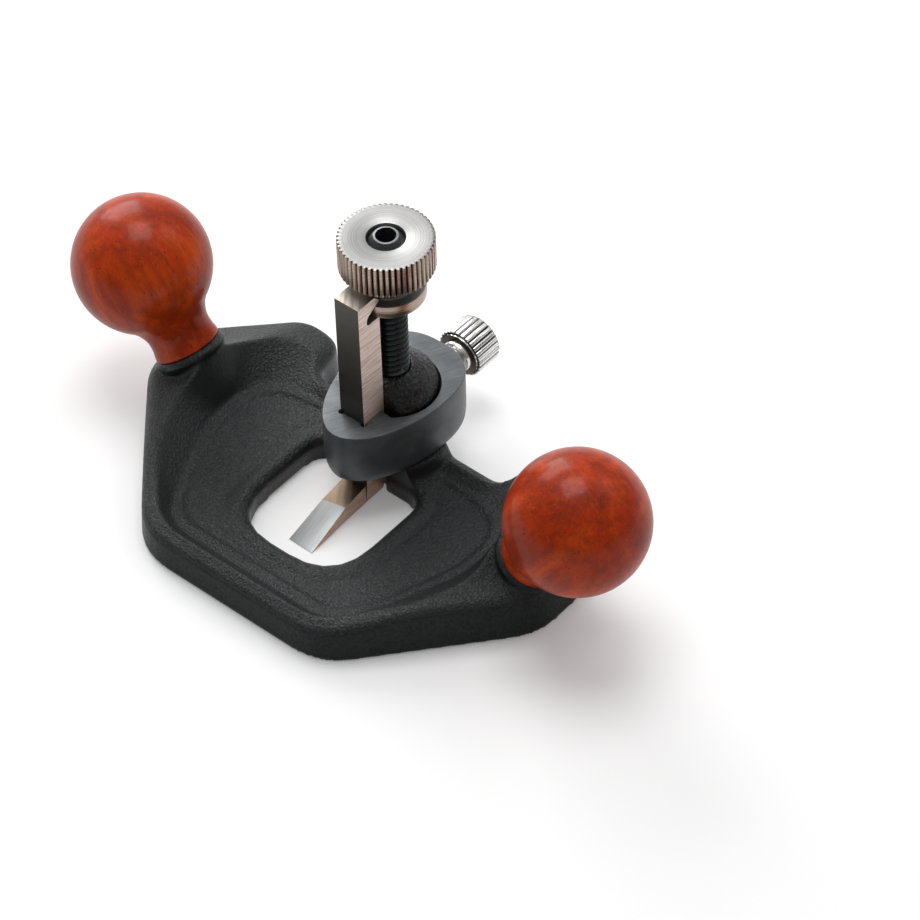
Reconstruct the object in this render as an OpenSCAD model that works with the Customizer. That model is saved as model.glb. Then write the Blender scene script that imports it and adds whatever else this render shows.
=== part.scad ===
/* [Body casting] */
// Distance of the wing tip from the centre line
wing_reach = 68.4; // [64:0.2:74]
// Distance of the front edge from the post axis
front_reach = 66.8; // [63:0.2:72]
// Half length of the straight front edge, up to its corner
nose_half = 31; // [27:0.5:35]
// Distance of the wing's rear edge behind the post axis
wing_rear = 18.7; // [16:0.2:21]
// Distance of the narrow waist's edge behind the post axis
waist_rear = 6.1; // [5:0.1:7]
// Height of the panel round the mouth
panel_h = 7; // [6:0.1:8]
// Height of the rim's outer edge at the front
front_rim_h = 10.4; // [9:0.1:12]
// Height of the rim's outer edge on the slanted sides
side_rim_h = 14.4; // [13:0.1:16]
// Half width of the mouth
mouth_half = 18; // [16:0.2:20]
// Front end of the mouth, from the post axis
mouth_front = 46; // [42:0.5:48]
// Radius of the round post that guides the blade
post_r = 12.1; // [11.5:0.1:12.4]
// Height of the post's domed top
post_h = 38.2; // [35:0.2:41]
// Height of the shoulder that carries the clamp collar
shoulder_h = 12.8; // [12:0.1:14]

/* [Knobs] */
// Diameter of the wooden ball knobs
knob_d = 38.1; // [34:0.1:41]
// Distance of the knob's foot in from the wing tip
knob_in = 8.4; // [8:0.1:9.6]
// Height of the knob's foot centre
knob_foot_z = 18.6; // [17:0.1:20]
// Distance of the knob axis in front of the post axis
knob_front = 15.2; // [13:0.2:17]
// Lean of the knob axis, outwards from upright
knob_lean = 34; // [30:0.5:38]
// Radius of the knob's foot
knob_foot_r = 9.3; // [8.5:0.1:9.8]
// Distance from the knob's foot to the ball's centre
knob_rise = 26.1; // [25:0.1:28]

/* [Blade] */
// Side of the square blade shank
shank = 7.94; // [7.5:0.02:8.2]
// Reach of the cutting edge in front of the post axis
edge_reach = 38.6; // [36:0.1:40]
// Width of the foot behind its bevel
foot_w = 6.8; // [6:0.1:7.4]
// Thickness of the foot at the top of the bevel
foot_h = 4.8; // [4.2:0.1:5.4]
// Length of the bevel, seen from above
bevel_run = 13.4; // [12:0.1:15]
// Depth of the notch for the driving disc, from the shank's rear face
notch_depth = 4.85; // [4:0.05:5.2]
// Thickness of the shank's lip above the notch
lip_h = 3.3; // [2.6:0.1:4]

/* [Adjuster] */
// Diameter of the threaded adjuster stud
stud_d = 9.525; // [9.2:0.005:9.8]
// Diameter of the knurled adjuster wheel
wheel_d = 25.4; // [24:0.1:27]
// Length of the wheel's knurled rim
wheel_h = 9.5; // [8:0.1:11]
// Height of the wheel's top at rest
wheel_top = 83.2; // [80:0.2:90]
// Distance of the stud's top above the wheel's top at rest
stud_proud = 0.6; // [-1:0.1:2]
// Length of the neck between the knurled rim and the driving disc
disc_gap = 5.95; // [5:0.05:8]
// Radius of the disc that drives the blade
disc_r = 10; // [9.6:0.1:10.6]
// Thickness of the driving disc
disc_h = 3.9; // [3.4:0.1:4.4]
// Pitch of the adjuster thread
stud_pitch = 1.9;

/* [Clamp] */
// Height of the clamp collar
collar_h = 17.3; // [16:0.1:18.5]
// Half width of the clamp collar
collar_half = 14.9; // [14.6:0.1:16]
// Front end of the collar, from the post axis
collar_front = 23.7; // [22.5:0.1:25]
// Rear end of the collar, from the post axis
collar_rear = 20; // [18.5:0.1:21]
// Height of the lock screw's axis
lock_z = 20.4; // [19.5:0.1:22.5]
// Diameter of the lock screw's shank
lock_d = 6.35; // [6:0.05:6.6]
// Diameter of the knurled lock head
lock_head_d = 14.3; // [13:0.1:15]
// Length of the knurled lock head
lock_head_h = 9.2; // [8:0.1:10]
// Gap between the collar and the lock head
lock_gap = 6.4; // [5:0.1:8]
// Pitch of the lock screw's thread
lock_pitch = 1.27;

/* [Hidden] */
$fn = 96;

cut = 1;                                   // overrun of a through cut
slide_gap = 0.05;                          // play of a sliding flat
thread_gap = 0.05;                         // play of a mated thread, on the radius
seat_gap = 0.02;                           // play of a tight seat

// Travel of the clamp: half a turn of the lock screw
clamp_travel = lock_pitch / 2;

// The square shank stands against the post's front flat
flat_y = -8.09;
shank_rear = flat_y - slide_gap;
shank_front = shank_rear - shank;
mouth_rear = -9.7;

// Collar
collar_z = shoulder_h + slide_gap;
collar_in_r = post_r + 0.5;                // opening round the post
collar_in_y = 0.35;                        // its centre, behind the post's axis
collar_mid = 3.6;                          // the plan's widest place
collar_edge = 0.4;                         // rounding of the top edge
relief_r = 0.9;

// Knobs and their screws, on the leaning knob axes
knob_foot_x = wing_reach - knob_in;
screw_r = 3.175;
screw_head_r = 4.76;
screw_head_h = 4.6;
screw_play = 0.15;                         // clearance round the knob screw's shank
head_play = 0.4;                           // clearance round the screw's head
bore_reach = 30;                           // long enough to leave the sole
key_across = 4.76;                         // hexagon key, across its flats
screw_seat = 8.5;                          // from the knob's foot down to the head
insert_r = 4.6;
insert_len = 12.7;
insert_gap = 0.3;                          // the insert stops short of the foot
screw_socket = 2.6;                        // depth of the knob screw's hexagon
pad_margin = 0.2;                          // of the pad's flat round the knob's foot
pad_round = 0.4;                           // how far the pad's edge swells below it

// Adjuster
stud_len_in = 22;                          // thread length inside the post
stud_top = wheel_top + stud_proud;
stud_edge = 1.1;                           // chamfer at the stud's top
stud_socket = 4.5;                         // depth of the stud's hexagon
disc_z = wheel_top - wheel_h - disc_gap - disc_h;
neck_r = 7;
recess_r = 5.4;
recess_h = 4.2;
wheel_flutes = 52;
head_flutes = 26;
notch_play = 0.25;
shank_top = disc_z + disc_h + notch_play + lip_h;
notch_slope = 0.62;                        // rise of the notch's upper flank
notch_rise = notch_slope * notch_depth;
lip_slant = 1.7;                           // length of the lip's slanted end
// The flank clears the top edge of the disc
notch_h = disc_h + 2 * notch_play - notch_slope * (notch_depth - shank_rear - disc_r);

// Foot of the blade
edge_z = 0.15;
heel_z = 0.6;
foot_rise = 1.4;                           // the foot thickens towards the shank

function turn(v) = [-v[0], v[1], v[2], v[3]];
function along(a, b) = (b - a) / norm(b - a);
function xyz(v) = [v[0], v[1], v[2]];
// One rounded corner of a ring: a parabola between its two tangent points
function corner(a, v, b, n) =
    let (p = xyz(v) + v[3] * along(xyz(v), xyz(a)), q = xyz(v) + v[3] * along(xyz(v), xyz(b)))
    [for (i = [0:n]) let (u = i / n) (1 - u) * (1 - u) * p + 2 * u * (1 - u) * xyz(v) + u * u * q];
// A whole ring from the corners of its right half, front to rear
function ring(half, n = 5) =
    let (all = concat(half, [for (i = [len(half) - 1:-1:0]) turn(half[i])]), m = len(all))
    [for (i = [0:m - 1]) for (p = corner(all[(i + m - 1) % m], all[i], all[(i + 1) % m], n)) p];
// The outline, drawn in by d and set to height offset dz below the rim, or to z
function outline(d, dz, z = undef) =
    let (w = wing_reach - d, f = front_reach - d, r = wing_rear - d, s = waist_rear - d,
         h = function (v) is_undef(z) ? v - dz : z, a = -f + 50.2 + d / 2, b = -9.2 - d / 2)
    [[nose_half - d / 2, -f, h(front_rim_h), 9],
     [nose_half + 17 - d, -f + 19.6, h(side_rim_h), 6],
     [w, a - 7, h(side_rim_h - 0.4), 7],
     [w, a + (b - a) * 0.35, h(side_rim_h - 0.8), (b - a) * 0.1],
     [w, a + (b - a) * 0.65, h(side_rim_h - 1), (b - a) * 0.1],
     [w, b + 5, h(side_rim_h - 1.4), 5],
     [47 - d / 2, r, h(12), 4.5],
     [34.5 + d / 2, r, h(10.5), 5],
     [32 + d / 2, s, h(9.6), 4]];

rim_ridge = [
    [28.2, -front_reach + 4, front_rim_h + 0.9, 8.5],
    [wing_reach - 23.4, -43, side_rim_h - 0.6, 6],
    [wing_reach - 16.8, -29.5, side_rim_h + 1.2, 5],
    [wing_reach - 17.4, -knob_front - 4.3, side_rim_h + 6.6, 4],
    [wing_reach - 17, -knob_front + 3.2, side_rim_h + 7.2, 3.5],
    [wing_reach - 17.6, -2.5, side_rim_h + 1.8, 4],
    [wing_reach - 22.4, 7.2, 13.8, 4.5],
    [36, wing_rear - 8, 11.6, 4],
    [30.5, waist_rear - 3.9, 10, 3.5]];
rim_foot = [
    [28.3, -front_reach + 7.4, panel_h + 1, 8],
    [37.4, -42.3, panel_h + 1, 6],
    [43.6, -27, panel_h + 1, 5],
    [44.7, -20, panel_h + 1, 1.5],
    [44.7, -15.5, panel_h + 1, 1.5],
    [43.9, -8.6, panel_h + 1, 3.5],
    [41, -2.8, panel_h + 1, 2.5],
    [35, -1.2, panel_h + 1, 2],
    [29, -0.6, panel_h + 1, 3]];
panel_edge = [
    [27.6, -front_reach + 11.8, panel_h, 7.5],
    [34.8, -40.5, panel_h, 5],
    [40.2, -26, panel_h, 4.5],
    [41.2, -19.2, panel_h, 1.5],
    [41.2, -15.8, panel_h, 1.5],
    [40.4, -10.6, panel_h, 2.5],
    [37.6, -5.8, panel_h, 2.5],
    [32.5, -4, panel_h, 2],
    [27, -2.8, panel_h, 3]];
// A ring round the mouth, g outside its wall and at height z
function round_mouth(g, z) =
    let (x = mouth_half + g, f = mouth_front + g, r = mouth_rear + g * 0.6,
         t = 15 + g / 2, u = 6.2 + g / 2, a = -f + t, b = r - u)
    concat([[x, -f, z, t]],
           [for (k = [0.12, 0.27, 0.42, 0.55, 0.67, 0.79, 0.9]) [x, a + (b - a) * k, z, (b - a) * 0.04]],
           [[x, r, z, u]]);

rings = [
    ring(outline(0.5, 0, 0)),
    ring(outline(0, 0, 0.8)),
    ring(outline(0.5, 1.8)),
    ring(outline(1.5, 0.4)),
    ring(outline(2.6, 0)),
    ring(rim_ridge),
    ring(rim_foot),
    ring(panel_edge),
    ring(round_mouth(6.4, panel_h - 0.4)),
    ring(round_mouth(3.4, panel_h + 0.4)),
    ring(round_mouth(0.8, panel_h - 0.6)),
    ring(round_mouth(0, panel_h - 2)),
    ring(round_mouth(0, 0))];

// Triangles between ring j and the next of k rings of m points
function band(m, k, j) =
    [for (i = [0:m - 1])
     let (a = j * m + i, b = j * m + (i + 1) % m,
          c = ((j + 1) % k) * m + i, d = ((j + 1) % k) * m + (i + 1) % m)
     for (f = [[a, d, b], [a, c, d]]) f];

// A solid frame: rings joined one to the next, and the last to the first
module frame_loft(rs) {
    m = len(rs[0]);
    k = len(rs);
    polyhedron(points = [for (r = rs) for (p = r) p],
               faces = [for (j = [0:k - 1]) for (f = band(m, k, j)) f],
               convexity = 8);
}

// A solid block: rings joined from the bottom up, with a flat end each way
module block_loft(rs) {
    m = len(rs[0]);
    k = len(rs);
    polyhedron(points = [for (r = rs) for (p = r) p],
               faces = concat([[for (i = [0:m - 1]) i]],
                              [[for (i = [m - 1:-1:0]) (k - 1) * m + i]],
                              [for (j = [0:k - 2]) for (f = band(m, k, j)) f]),
               convexity = 4);
}

// Places children on a knob's axis, with Z along it and zero at the knob's foot
module on_knob_axis(side) {
    translate([side * knob_foot_x, -knob_front, knob_foot_z])
        rotate([0, side * knob_lean, 0])
            children();
}

// The leaning pad that carries a knob, its edge swelling a little below the flat
module knob_pad(side) {
    flat_r = knob_foot_r + pad_margin;
    hull() {
        on_knob_axis(side) {
            translate([0, 0, -0.4])
                cylinder(r = flat_r, h = 0.4, $fn = 48);
            translate([0, 0, -2])
                cylinder(r = flat_r + pad_round, h = 0.8, $fn = 48);
        }
        translate([side * knob_foot_x, -knob_front, 0.5])
            cylinder(r = flat_r * cos(knob_lean) - 0.6, h = panel_h, $fn = 48);
    }
}

module post() {
    dome = [[0, 0], [post_r, 0], [post_r, post_h - 7.2], [post_r - 0.55, post_h - 5],
            [post_r - 1.8, post_h - 3.2], [post_r - 3.7, post_h - 1.7], [post_r - 5.6, post_h - 0.7],
            [post_r - 7, post_h - 0.1], [post_r - 7.6, post_h], [0, post_h]];
    difference() {
        rotate_extrude() polygon(dome);
        translate([-post_r, flat_y - post_r, -cut])
            cube([2 * post_r, post_r, post_h + 2 * cut]);
    }
}

// The shoulder under the collar, flared into the panel
module shoulder() {
    flare = [[0, 0], [21.5, 0], [21.5, panel_h - 0.4], [18.2, panel_h + 0.4], [16, panel_h + 2.2],
             [14.6, shoulder_h - 0.6], [14.2, shoulder_h], [0, shoulder_h]];
    intersection() {
        rotate_extrude() polygon(flare);
        translate([-25, mouth_rear + 0.5, 0.5])
            cube([50, waist_rear - mouth_rear - 1.1, shoulder_h + cut]);
    }
}

module body_casting() {
    color([0.13, 0.14, 0.145])
    difference() {
        union() {
            frame_loft(rings);
            knob_pad(1);
            knob_pad(-1);
            post();
            shoulder();
        }
        // Groove that lets the shank reach the post's flat
        translate([-shank / 2 - 0.3, shank_front, -cut])
            cube([shank + 0.6, flat_y - shank_front, shoulder_h + 2 * cut]);
        // Tapped hole for the stud
        translate([0, 0, post_h - stud_len_in])
            cylinder(d = stud_d + 2 * thread_gap, h = stud_len_in + cut);
        // Knob screws: clearance holes with deep counterbores from the sole
        for (side = [-1, 1])
            on_knob_axis(side) {
                translate([0, 0, -screw_seat - cut])
                    cylinder(r = screw_r + screw_play, h = screw_seat + 2 * cut);
                translate([0, 0, -screw_seat - bore_reach])
                    cylinder(r = screw_head_r + head_play, h = bore_reach);
            }
    }
}
module knob() {
    neck = [[0, 0], [knob_foot_r, 0], [knob_foot_r, 0.6], [knob_foot_r - 0.35, 2.4],
            [knob_foot_r - 0.5, 4.4], [knob_foot_r - 0.35, 6.2], [knob_foot_r + 0.25, 8],
            [knob_foot_r + 1.3, 9.8], [knob_foot_r + 2.2, 11], [0, 12]];
    color([0.60, 0.17, 0.07])
    difference() {
        union() {
            rotate_extrude() polygon(neck);
            translate([0, 0, knob_rise]) sphere(d = knob_d);
        }
        translate([0, 0, -cut])
            cylinder(r = insert_r + seat_gap, h = insert_gap + insert_len + 2 + cut);
    }
}

module left_knob() on_knob_axis(-1) knob();
module right_knob() on_knob_axis(1) knob();

module insert() {
    color([0.78, 0.62, 0.30])
    translate([0, 0, insert_gap])
        difference() {
            cylinder(r = insert_r, h = insert_len);
            translate([0, 0, -cut])
                cylinder(r = screw_r + thread_gap, h = insert_len + 2 * cut);
        }
}

module left_insert() on_knob_axis(-1) insert();
module right_insert() on_knob_axis(1) insert();

// Socket-head screw, up through the casting into the knob's insert
module knob_screw() {
    color([0.16, 0.16, 0.17])
    difference() {
        union() {
            translate([0, 0, -screw_seat - seat_gap - screw_head_h])
                cylinder(r = screw_head_r, h = screw_head_h);
            translate([0, 0, -screw_seat - seat_gap - 0.01])
                cylinder(r = screw_r, h = screw_seat + insert_len);
        }
        translate([0, 0, -screw_seat - screw_head_h - cut])
            cylinder(d = key_across / cos(30), h = screw_socket + cut, $fn = 6);
    }
}

module left_knob_screw() on_knob_axis(-1) knob_screw();
module right_knob_screw() on_knob_axis(1) knob_screw();

module adjuster_stud() {
    groove = 0.95;
    foot_z = post_h - stud_len_in + 0.2;
    first = ceil((post_h + 0.4) / stud_pitch) * stud_pitch;
    color([0.10, 0.10, 0.11])
    difference() {
        union() {
            translate([0, 0, foot_z])
                cylinder(d = stud_d, h = stud_top - stud_edge - foot_z);
            translate([0, 0, stud_top - stud_edge])
                cylinder(d1 = stud_d, d2 = stud_d - 2 * stud_edge, h = stud_edge);
        }
        // Thread, as ring grooves between the post and the wheel's disc
        for (z = [first:stud_pitch:disc_z - 0.8])
            translate([0, 0, z])
                rotate_extrude()
                    polygon([[stud_d / 2 + 0.2, -0.75], [stud_d / 2 - groove, 0],
                             [stud_d / 2 + 0.2, 0.75]]);
        translate([0, 0, stud_top - stud_socket])
            cylinder(d = key_across / cos(30), h = stud_socket + cut, $fn = 6);
    }
}

module knurled(r, h, n, depth, edge) {
    difference() {
        rotate_extrude()
            polygon([[0, 0], [r - edge, 0], [r, edge], [r, h - edge], [r - edge, h], [0, h]]);
        for (i = [0:n - 1])
            rotate([0, 0, i * 360 / n])
                translate([r + 0.35, 0, -cut])
                    rotate([0, 0, 45])
                        cube([depth + 0.25, depth + 0.25, 2 * (h + cut)], center = true);
    }
}

module adjuster_wheel() {
    color([0.72, 0.72, 0.71])
    difference() {
        union() {
            translate([0, 0, disc_z]) cylinder(r = disc_r, h = disc_h);
            translate([0, 0, disc_z + disc_h - 0.01]) cylinder(r = neck_r, h = disc_gap + 0.02);
            translate([0, 0, wheel_top - wheel_h])
                knurled(wheel_d / 2, wheel_h, wheel_flutes, 0.75, 0.5);
        }
        translate([0, 0, disc_z - cut])
            cylinder(d = stud_d + 2 * thread_gap, h = wheel_top - disc_z + 2 * cut);
        translate([0, 0, wheel_top - recess_h])
            cylinder(r = recess_r, h = recess_h + cut);
    }
}

module blade() {
    mid = (shank_front + shank_rear) / 2;
    color([0.50, 0.49, 0.47])
    difference() {
        union() {
            // Shank
            translate([-shank / 2, shank_front, foot_h + 2.2])
                cube([shank, shank, shank_top - foot_h - 2.2]);
            // Heel, narrowed from the shank to the foot
            hull() {
                translate([-shank / 2, shank_front, foot_h + 2.2])
                    cube([shank, shank, 0.5]);
                translate([-foot_w / 2, shank_front, heel_z])
                    cube([foot_w, shank - 1.2, foot_h]);
            }
            // Foot, up to the top of the bevel, and the bevel
            hull() {
                translate([-foot_w / 2, shank_front, heel_z])
                    cube([foot_w, 1, foot_h + foot_rise]);
                translate([-foot_w / 2, -edge_reach + bevel_run, edge_z + 0.15])
                    cube([foot_w, 0.01, foot_h]);
            }
            hull() {
                translate([-foot_w / 2, -edge_reach + bevel_run, edge_z + 0.15])
                    cube([foot_w, 0.01, foot_h]);
                translate([-shank / 2, -edge_reach, edge_z])
                    cube([shank, 0.01, 0.05]);
            }
        }
        // Notch for the driving disc, its upper flank rising to the rear
        translate([-shank, shank_rear - notch_depth, disc_z - notch_play])
            rotate([90, 0, 90])
                linear_extrude(2 * shank)
                    polygon([[0, 0], [notch_depth + cut, 0], [notch_depth + cut, notch_h + notch_rise],
                             [notch_depth, notch_h + notch_rise], [0, notch_h]]);
        // Slanted end of the lip above the disc
        translate([-shank, shank_rear - lip_slant, shank_top])
            rotate([-45, 0, 0])
                cube([2 * shank, 6, 3]);
    }
}

// Plan of the collar: a long ellipse in front, a squarer one behind
function egg(t) =
    let (wide = collar_half, c = cos(t), s = sin(t), e = s < 0 ? 1.05 : 0.78,
         long = s < 0 ? collar_front + collar_mid : collar_rear - collar_mid)
    [sign(c) * wide * pow(abs(c), e), collar_mid + sign(s) * long * pow(abs(s), e)];

// One ring of the collar, d inside its plan and h above its underside
function collar_ring(h, d) =
    [for (t = [0:5:355])
     let (p = egg(t), l = norm(p))
     [p[0] * (l - d) / l, p[1] * (l - d) / l, collar_z + h]];

module clamp_collar() {
    color([0.19, 0.20, 0.21])
    difference() {
        block_loft([collar_ring(0, 1.7), collar_ring(0.7, 0.95), collar_ring(2, 0.4),
                    collar_ring(4.5, 0.1), collar_ring(7, 0), collar_ring(collar_h - collar_edge, 0),
                    collar_ring(collar_h, collar_edge * 0.6)]);
        // Opening round the post, open to the shank's pocket
        translate([0, 0, collar_z - cut])
            intersection() {
                translate([0, collar_in_y, 0])
                    cylinder(r = collar_in_r, h = collar_h + 2 * cut);
                translate([-collar_in_r, shank_rear - 1.4, 0])
                    cube([2 * collar_in_r, 3 * collar_in_r, collar_h + 2 * cut]);
            }
        translate([-shank / 2 - slide_gap, shank_front - slide_gap, collar_z - cut])
            cube([shank + 2 * slide_gap, shank, collar_h + 2 * cut]);
        for (side = [-1, 1])
            translate([side * (shank / 2 - 0.1), shank_front + 0.1, collar_z - cut])
                cylinder(r = relief_r, h = collar_h + 2 * cut, $fn = 32);
        // Tapped hole for the lock screw
        translate([0, post_r - 1, lock_z])
            rotate([-90, 0, 0])
                cylinder(d = lock_d + 2 * thread_gap, h = collar_rear);
    }
}

// Thumb screw: tip on the post, thread through the collar, knurled head
module lock_screw() {
    tip_y = post_r + seat_gap;
    ring_y = collar_rear + 0.9;
    head_y = collar_rear + lock_gap;
    color([0.75, 0.75, 0.74])
    translate([0, 0, lock_z])
        rotate([-90, 0, 0]) {
            translate([0, 0, tip_y]) cylinder(d = lock_d, h = head_y - tip_y + 1);
            translate([0, 0, ring_y + 1.2]) cylinder(r = 4.1, h = 1.5);
            translate([0, 0, head_y - 1.4]) cylinder(r = 4.6, h = 1.5);
            translate([0, 0, head_y])
                knurled(lock_head_d / 2, lock_head_h, head_flutes, 0.8, 0.9);
        }
}

body_casting();
left_knob();
right_knob();
left_insert();
right_insert();
left_knob_screw();
right_knob_screw();
adjuster_stud();
adjuster_wheel();
blade();
clamp_collar();
lock_screw();
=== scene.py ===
"""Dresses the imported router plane: casting, knobs, adjuster, blade, collar and lock screw."""

import logging
import math
from dataclasses import dataclass
from enum import Enum
from typing import Callable, Sequence

import bmesh
import bpy
from mathutils import Matrix, Vector

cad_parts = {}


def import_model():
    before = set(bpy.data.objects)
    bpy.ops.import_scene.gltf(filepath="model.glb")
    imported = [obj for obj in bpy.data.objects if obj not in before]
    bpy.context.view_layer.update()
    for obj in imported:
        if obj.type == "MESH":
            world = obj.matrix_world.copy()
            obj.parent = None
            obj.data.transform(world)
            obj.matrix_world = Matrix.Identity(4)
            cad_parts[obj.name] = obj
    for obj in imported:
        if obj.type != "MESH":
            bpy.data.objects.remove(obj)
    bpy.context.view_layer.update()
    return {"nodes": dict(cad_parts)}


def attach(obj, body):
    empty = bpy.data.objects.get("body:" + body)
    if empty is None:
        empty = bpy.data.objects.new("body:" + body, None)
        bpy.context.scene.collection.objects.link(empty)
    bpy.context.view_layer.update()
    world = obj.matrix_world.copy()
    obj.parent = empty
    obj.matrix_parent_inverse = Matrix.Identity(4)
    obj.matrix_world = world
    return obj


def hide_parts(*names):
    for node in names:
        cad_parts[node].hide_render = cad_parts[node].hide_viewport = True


BMesh = bmesh.types.BMesh
Material = bpy.types.Material
Object = bpy.types.Object
Socket = bpy.types.NodeSocket
Triple = tuple[float, float, float]
Corners = list[tuple[float, ...]]
Profile = Sequence[tuple[float, float]]

LOG = logging.getLogger("router_plane")
MM = 0.001

# Sizes that several pieces share, in millimetres.
SHANK = 7.94
STUD_R = 4.7625
SCREW_R = 3.175
SCREW_HEAD_R = 4.76
KNOB_FOOT_R = 9.3
KNOB_FRONT = 15.2
COLLAR_REAR = 20.0
LOCK_Z = 20.4

# Turns a shape on Z so that it lies along Y.
ONTO_Y = Matrix.Rotation(-math.pi / 2, 4, "X")


class Carrier(Enum):
    """The moving bodies of the frame that a piece can ride on."""

    BODY = "body"
    BLADE = "blade"
    WHEEL = "wheel"
    COLLAR = "collar"
    LOCK = "lock"


class Side(Enum):
    """The two ends of the casting."""

    LEFT = -1
    RIGHT = 1

    @property
    def word(self) -> str:
        """The side as it stands in node names."""
        return self.name.lower()


# ---------------------------------------------------------------- materials


class NodeSheet:
    """A node tree, with short calls to add and join nodes."""

    def __init__(self, tree: bpy.types.NodeTree) -> None:
        """Takes hold of the node tree of a material or a world."""
        self.tree = tree

    def node(self, kind: str, feeds: dict | None = None, **settings: object) -> bpy.types.Node:
        """Adds a node.

        Args:
            kind: The node's type name, without its ShaderNode prefix.
            feeds: Values or sockets for its inputs, by name or number.
            **settings: Attributes to set on it.

        Returns:
            The new node.
        """
        made = self.tree.nodes.new("ShaderNode" + kind)
        for key, value in settings.items():
            setattr(made, key, value)
        for key, source in (feeds or {}).items():
            self.join(source, made.inputs[key])
        return made

    def join(self, source: object, socket: Socket) -> None:
        """Feeds a socket from another socket, or sets its value.

        Args:
            source: An output socket, or a plain value.
            socket: The input socket.
        """
        if isinstance(source, Socket):
            self.tree.links.new(source, socket)
        else:
            socket.default_value = source

    def place(self, centre: Triple = (0, 0, 0), turn: Triple = (0, 0, 0), stretch: Triple = (1, 1, 1)) -> Socket:
        """Object coordinates, centred and turned onto a piece.

        Args:
            centre: The pattern's own origin, in metres.
            turn: The pattern's own turn, in radians.
            stretch: How far the pattern is drawn out along each of its axes.

        Returns:
            A vector socket.
        """
        coords = self.node("TexCoord").outputs["Object"]
        feeds = {"Vector": coords, "Location": centre, "Rotation": turn, "Scale": stretch}
        return self.node("Mapping", feeds, vector_type="TEXTURE").outputs["Vector"]

    def noise(
        self, vector: Socket, grain_mm: float, detail: float = 2.0, rough: float = 0.5, distortion: float = 0.0
    ) -> Socket:
        """A noise pattern whose features are about grain_mm across.

        Args:
            vector: Where the noise is read.
            grain_mm: Rough feature size, in millimetres.
            detail: Octaves of finer noise.
            rough: Strength of the finer noise.
            distortion: How much the pattern is bent.

        Returns:
            A socket between 0 and 1.
        """
        scale = 1.0 / (grain_mm * MM)
        feeds = {"Vector": vector, "Scale": scale, "Detail": detail, "Roughness": rough, "Distortion": distortion}
        return self.node("TexNoise", feeds).outputs["Fac"]

    def ramp(self, fac: Socket, stops: Sequence[tuple[float, Triple]]) -> Socket:
        """A colour ramp.

        Args:
            fac: The value that is looked up.
            stops: Places and linear colours, from low to high.

        Returns:
            A colour socket.
        """
        made = self.node("ValToRGB", {"Fac": fac})
        row = made.color_ramp.elements
        while len(row) < len(stops):
            row.new(0.5)
        for element, (place, colour) in zip(row, stops):
            element.position = place
            element.color = (*colour, 1.0)
        return made.outputs["Color"]

    def span(self, value: Socket, low: float, high: float, to_low: float = 0.0, to_high: float = 1.0) -> Socket:
        """Maps low..high of a value onto to_low..to_high, clamped."""
        feeds = {"Value": value, "From Min": low, "From Max": high, "To Min": to_low, "To Max": to_high}
        return self.node("MapRange", feeds, clamp=True).outputs["Result"]

    def math(self, operation: str, a: object, b: object = 0.0) -> Socket:
        """One step of arithmetic on values or sockets, named as the Math node names it."""
        return self.node("Math", {0: a, 1: b}, operation=operation).outputs[0]

    def mix(self, fac: Socket, a: Socket, b: object) -> Socket:
        """Mixes a share fac of a second colour or socket into a first colour's socket."""
        second = b if isinstance(b, Socket) else (*b, 1.0)
        return self.node("MixRGB", {"Fac": fac, "Color1": a, "Color2": second}).outputs["Color"]

    def parts(self, vector: Socket) -> tuple[Socket, ...]:
        """Splits a vector into its X, Y and Z sockets."""
        made = self.node("SeparateXYZ", {"Vector": vector})
        return tuple(made.outputs[k] for k in "XYZ")

    def radius(self, x: Socket, y: Socket) -> Socket:
        """Distance from the pattern's Z axis."""
        return self.math("SQRT", self.math("ADD", self.math("POWER", x, 2.0), self.math("POWER", y, 2.0)))

    def shaded_grooves(self, radius: Socket, ends_mm: tuple[float, float]) -> Socket:
        """A socket, 1 at a groove's bottom and 0 at its crest, from both radii in millimetres, that masks painted
        shade in grooves.
        """
        bottom, crest = ends_mm
        return self.span(radius, bottom * MM, crest * MM, 1.0, 0.0)

    def seen_by(self, *rays: str) -> Socket:
        """A socket that is 1 for the named outputs of the light path, and else 0.

        Args:
            *rays: Names of the light path's outputs.

        Returns:
            A value socket.
        """
        path = self.node("LightPath")
        seen = path.outputs[rays[0]]
        for ray in rays[1:]:
            seen = self.math("MAXIMUM", seen, path.outputs[ray])
        return seen

    def bump(self, height: Socket, depth_mm: float, under: Socket | None = None) -> Socket:
        """A bump from a height between 0 and 1.

        Args:
            height: The height socket.
            depth_mm: Depth of the relief, in millimetres.
            under: A normal socket of a coarser bump beneath it.

        Returns:
            A normal socket.
        """
        feeds = {"Distance": depth_mm * MM, "Height": height}
        if under is not None:
            feeds["Normal"] = under
        return self.node("Bump", feeds).outputs["Normal"]


class Finish(NodeSheet):
    """A material under construction, built round one Principled shader."""

    def __init__(self, name: str) -> None:
        """Starts the material of that name.

        Args:
            name: The material's name.
        """
        self.material = bpy.data.materials.new(name)
        self.material.use_nodes = True
        super().__init__(self.material.node_tree)
        self.shader = self.tree.nodes["Principled BSDF"]
        self.output = self.tree.nodes["Material Output"]

    def dress(self, **sockets: object) -> Material:
        """Sets or feeds the shader's sockets, by name with underscores for spaces.

        Args:
            **sockets: Values or sockets, such as Base_Color or Roughness.

        Returns:
            The finished material.
        """
        for key, source in sockets.items():
            self.join(source, self.shader.inputs[key.replace("_", " ")])
        return self.material


def toned(colour: Triple, factor: float) -> Triple:
    """A colour times a factor."""
    return tuple(c * factor for c in colour)


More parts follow.
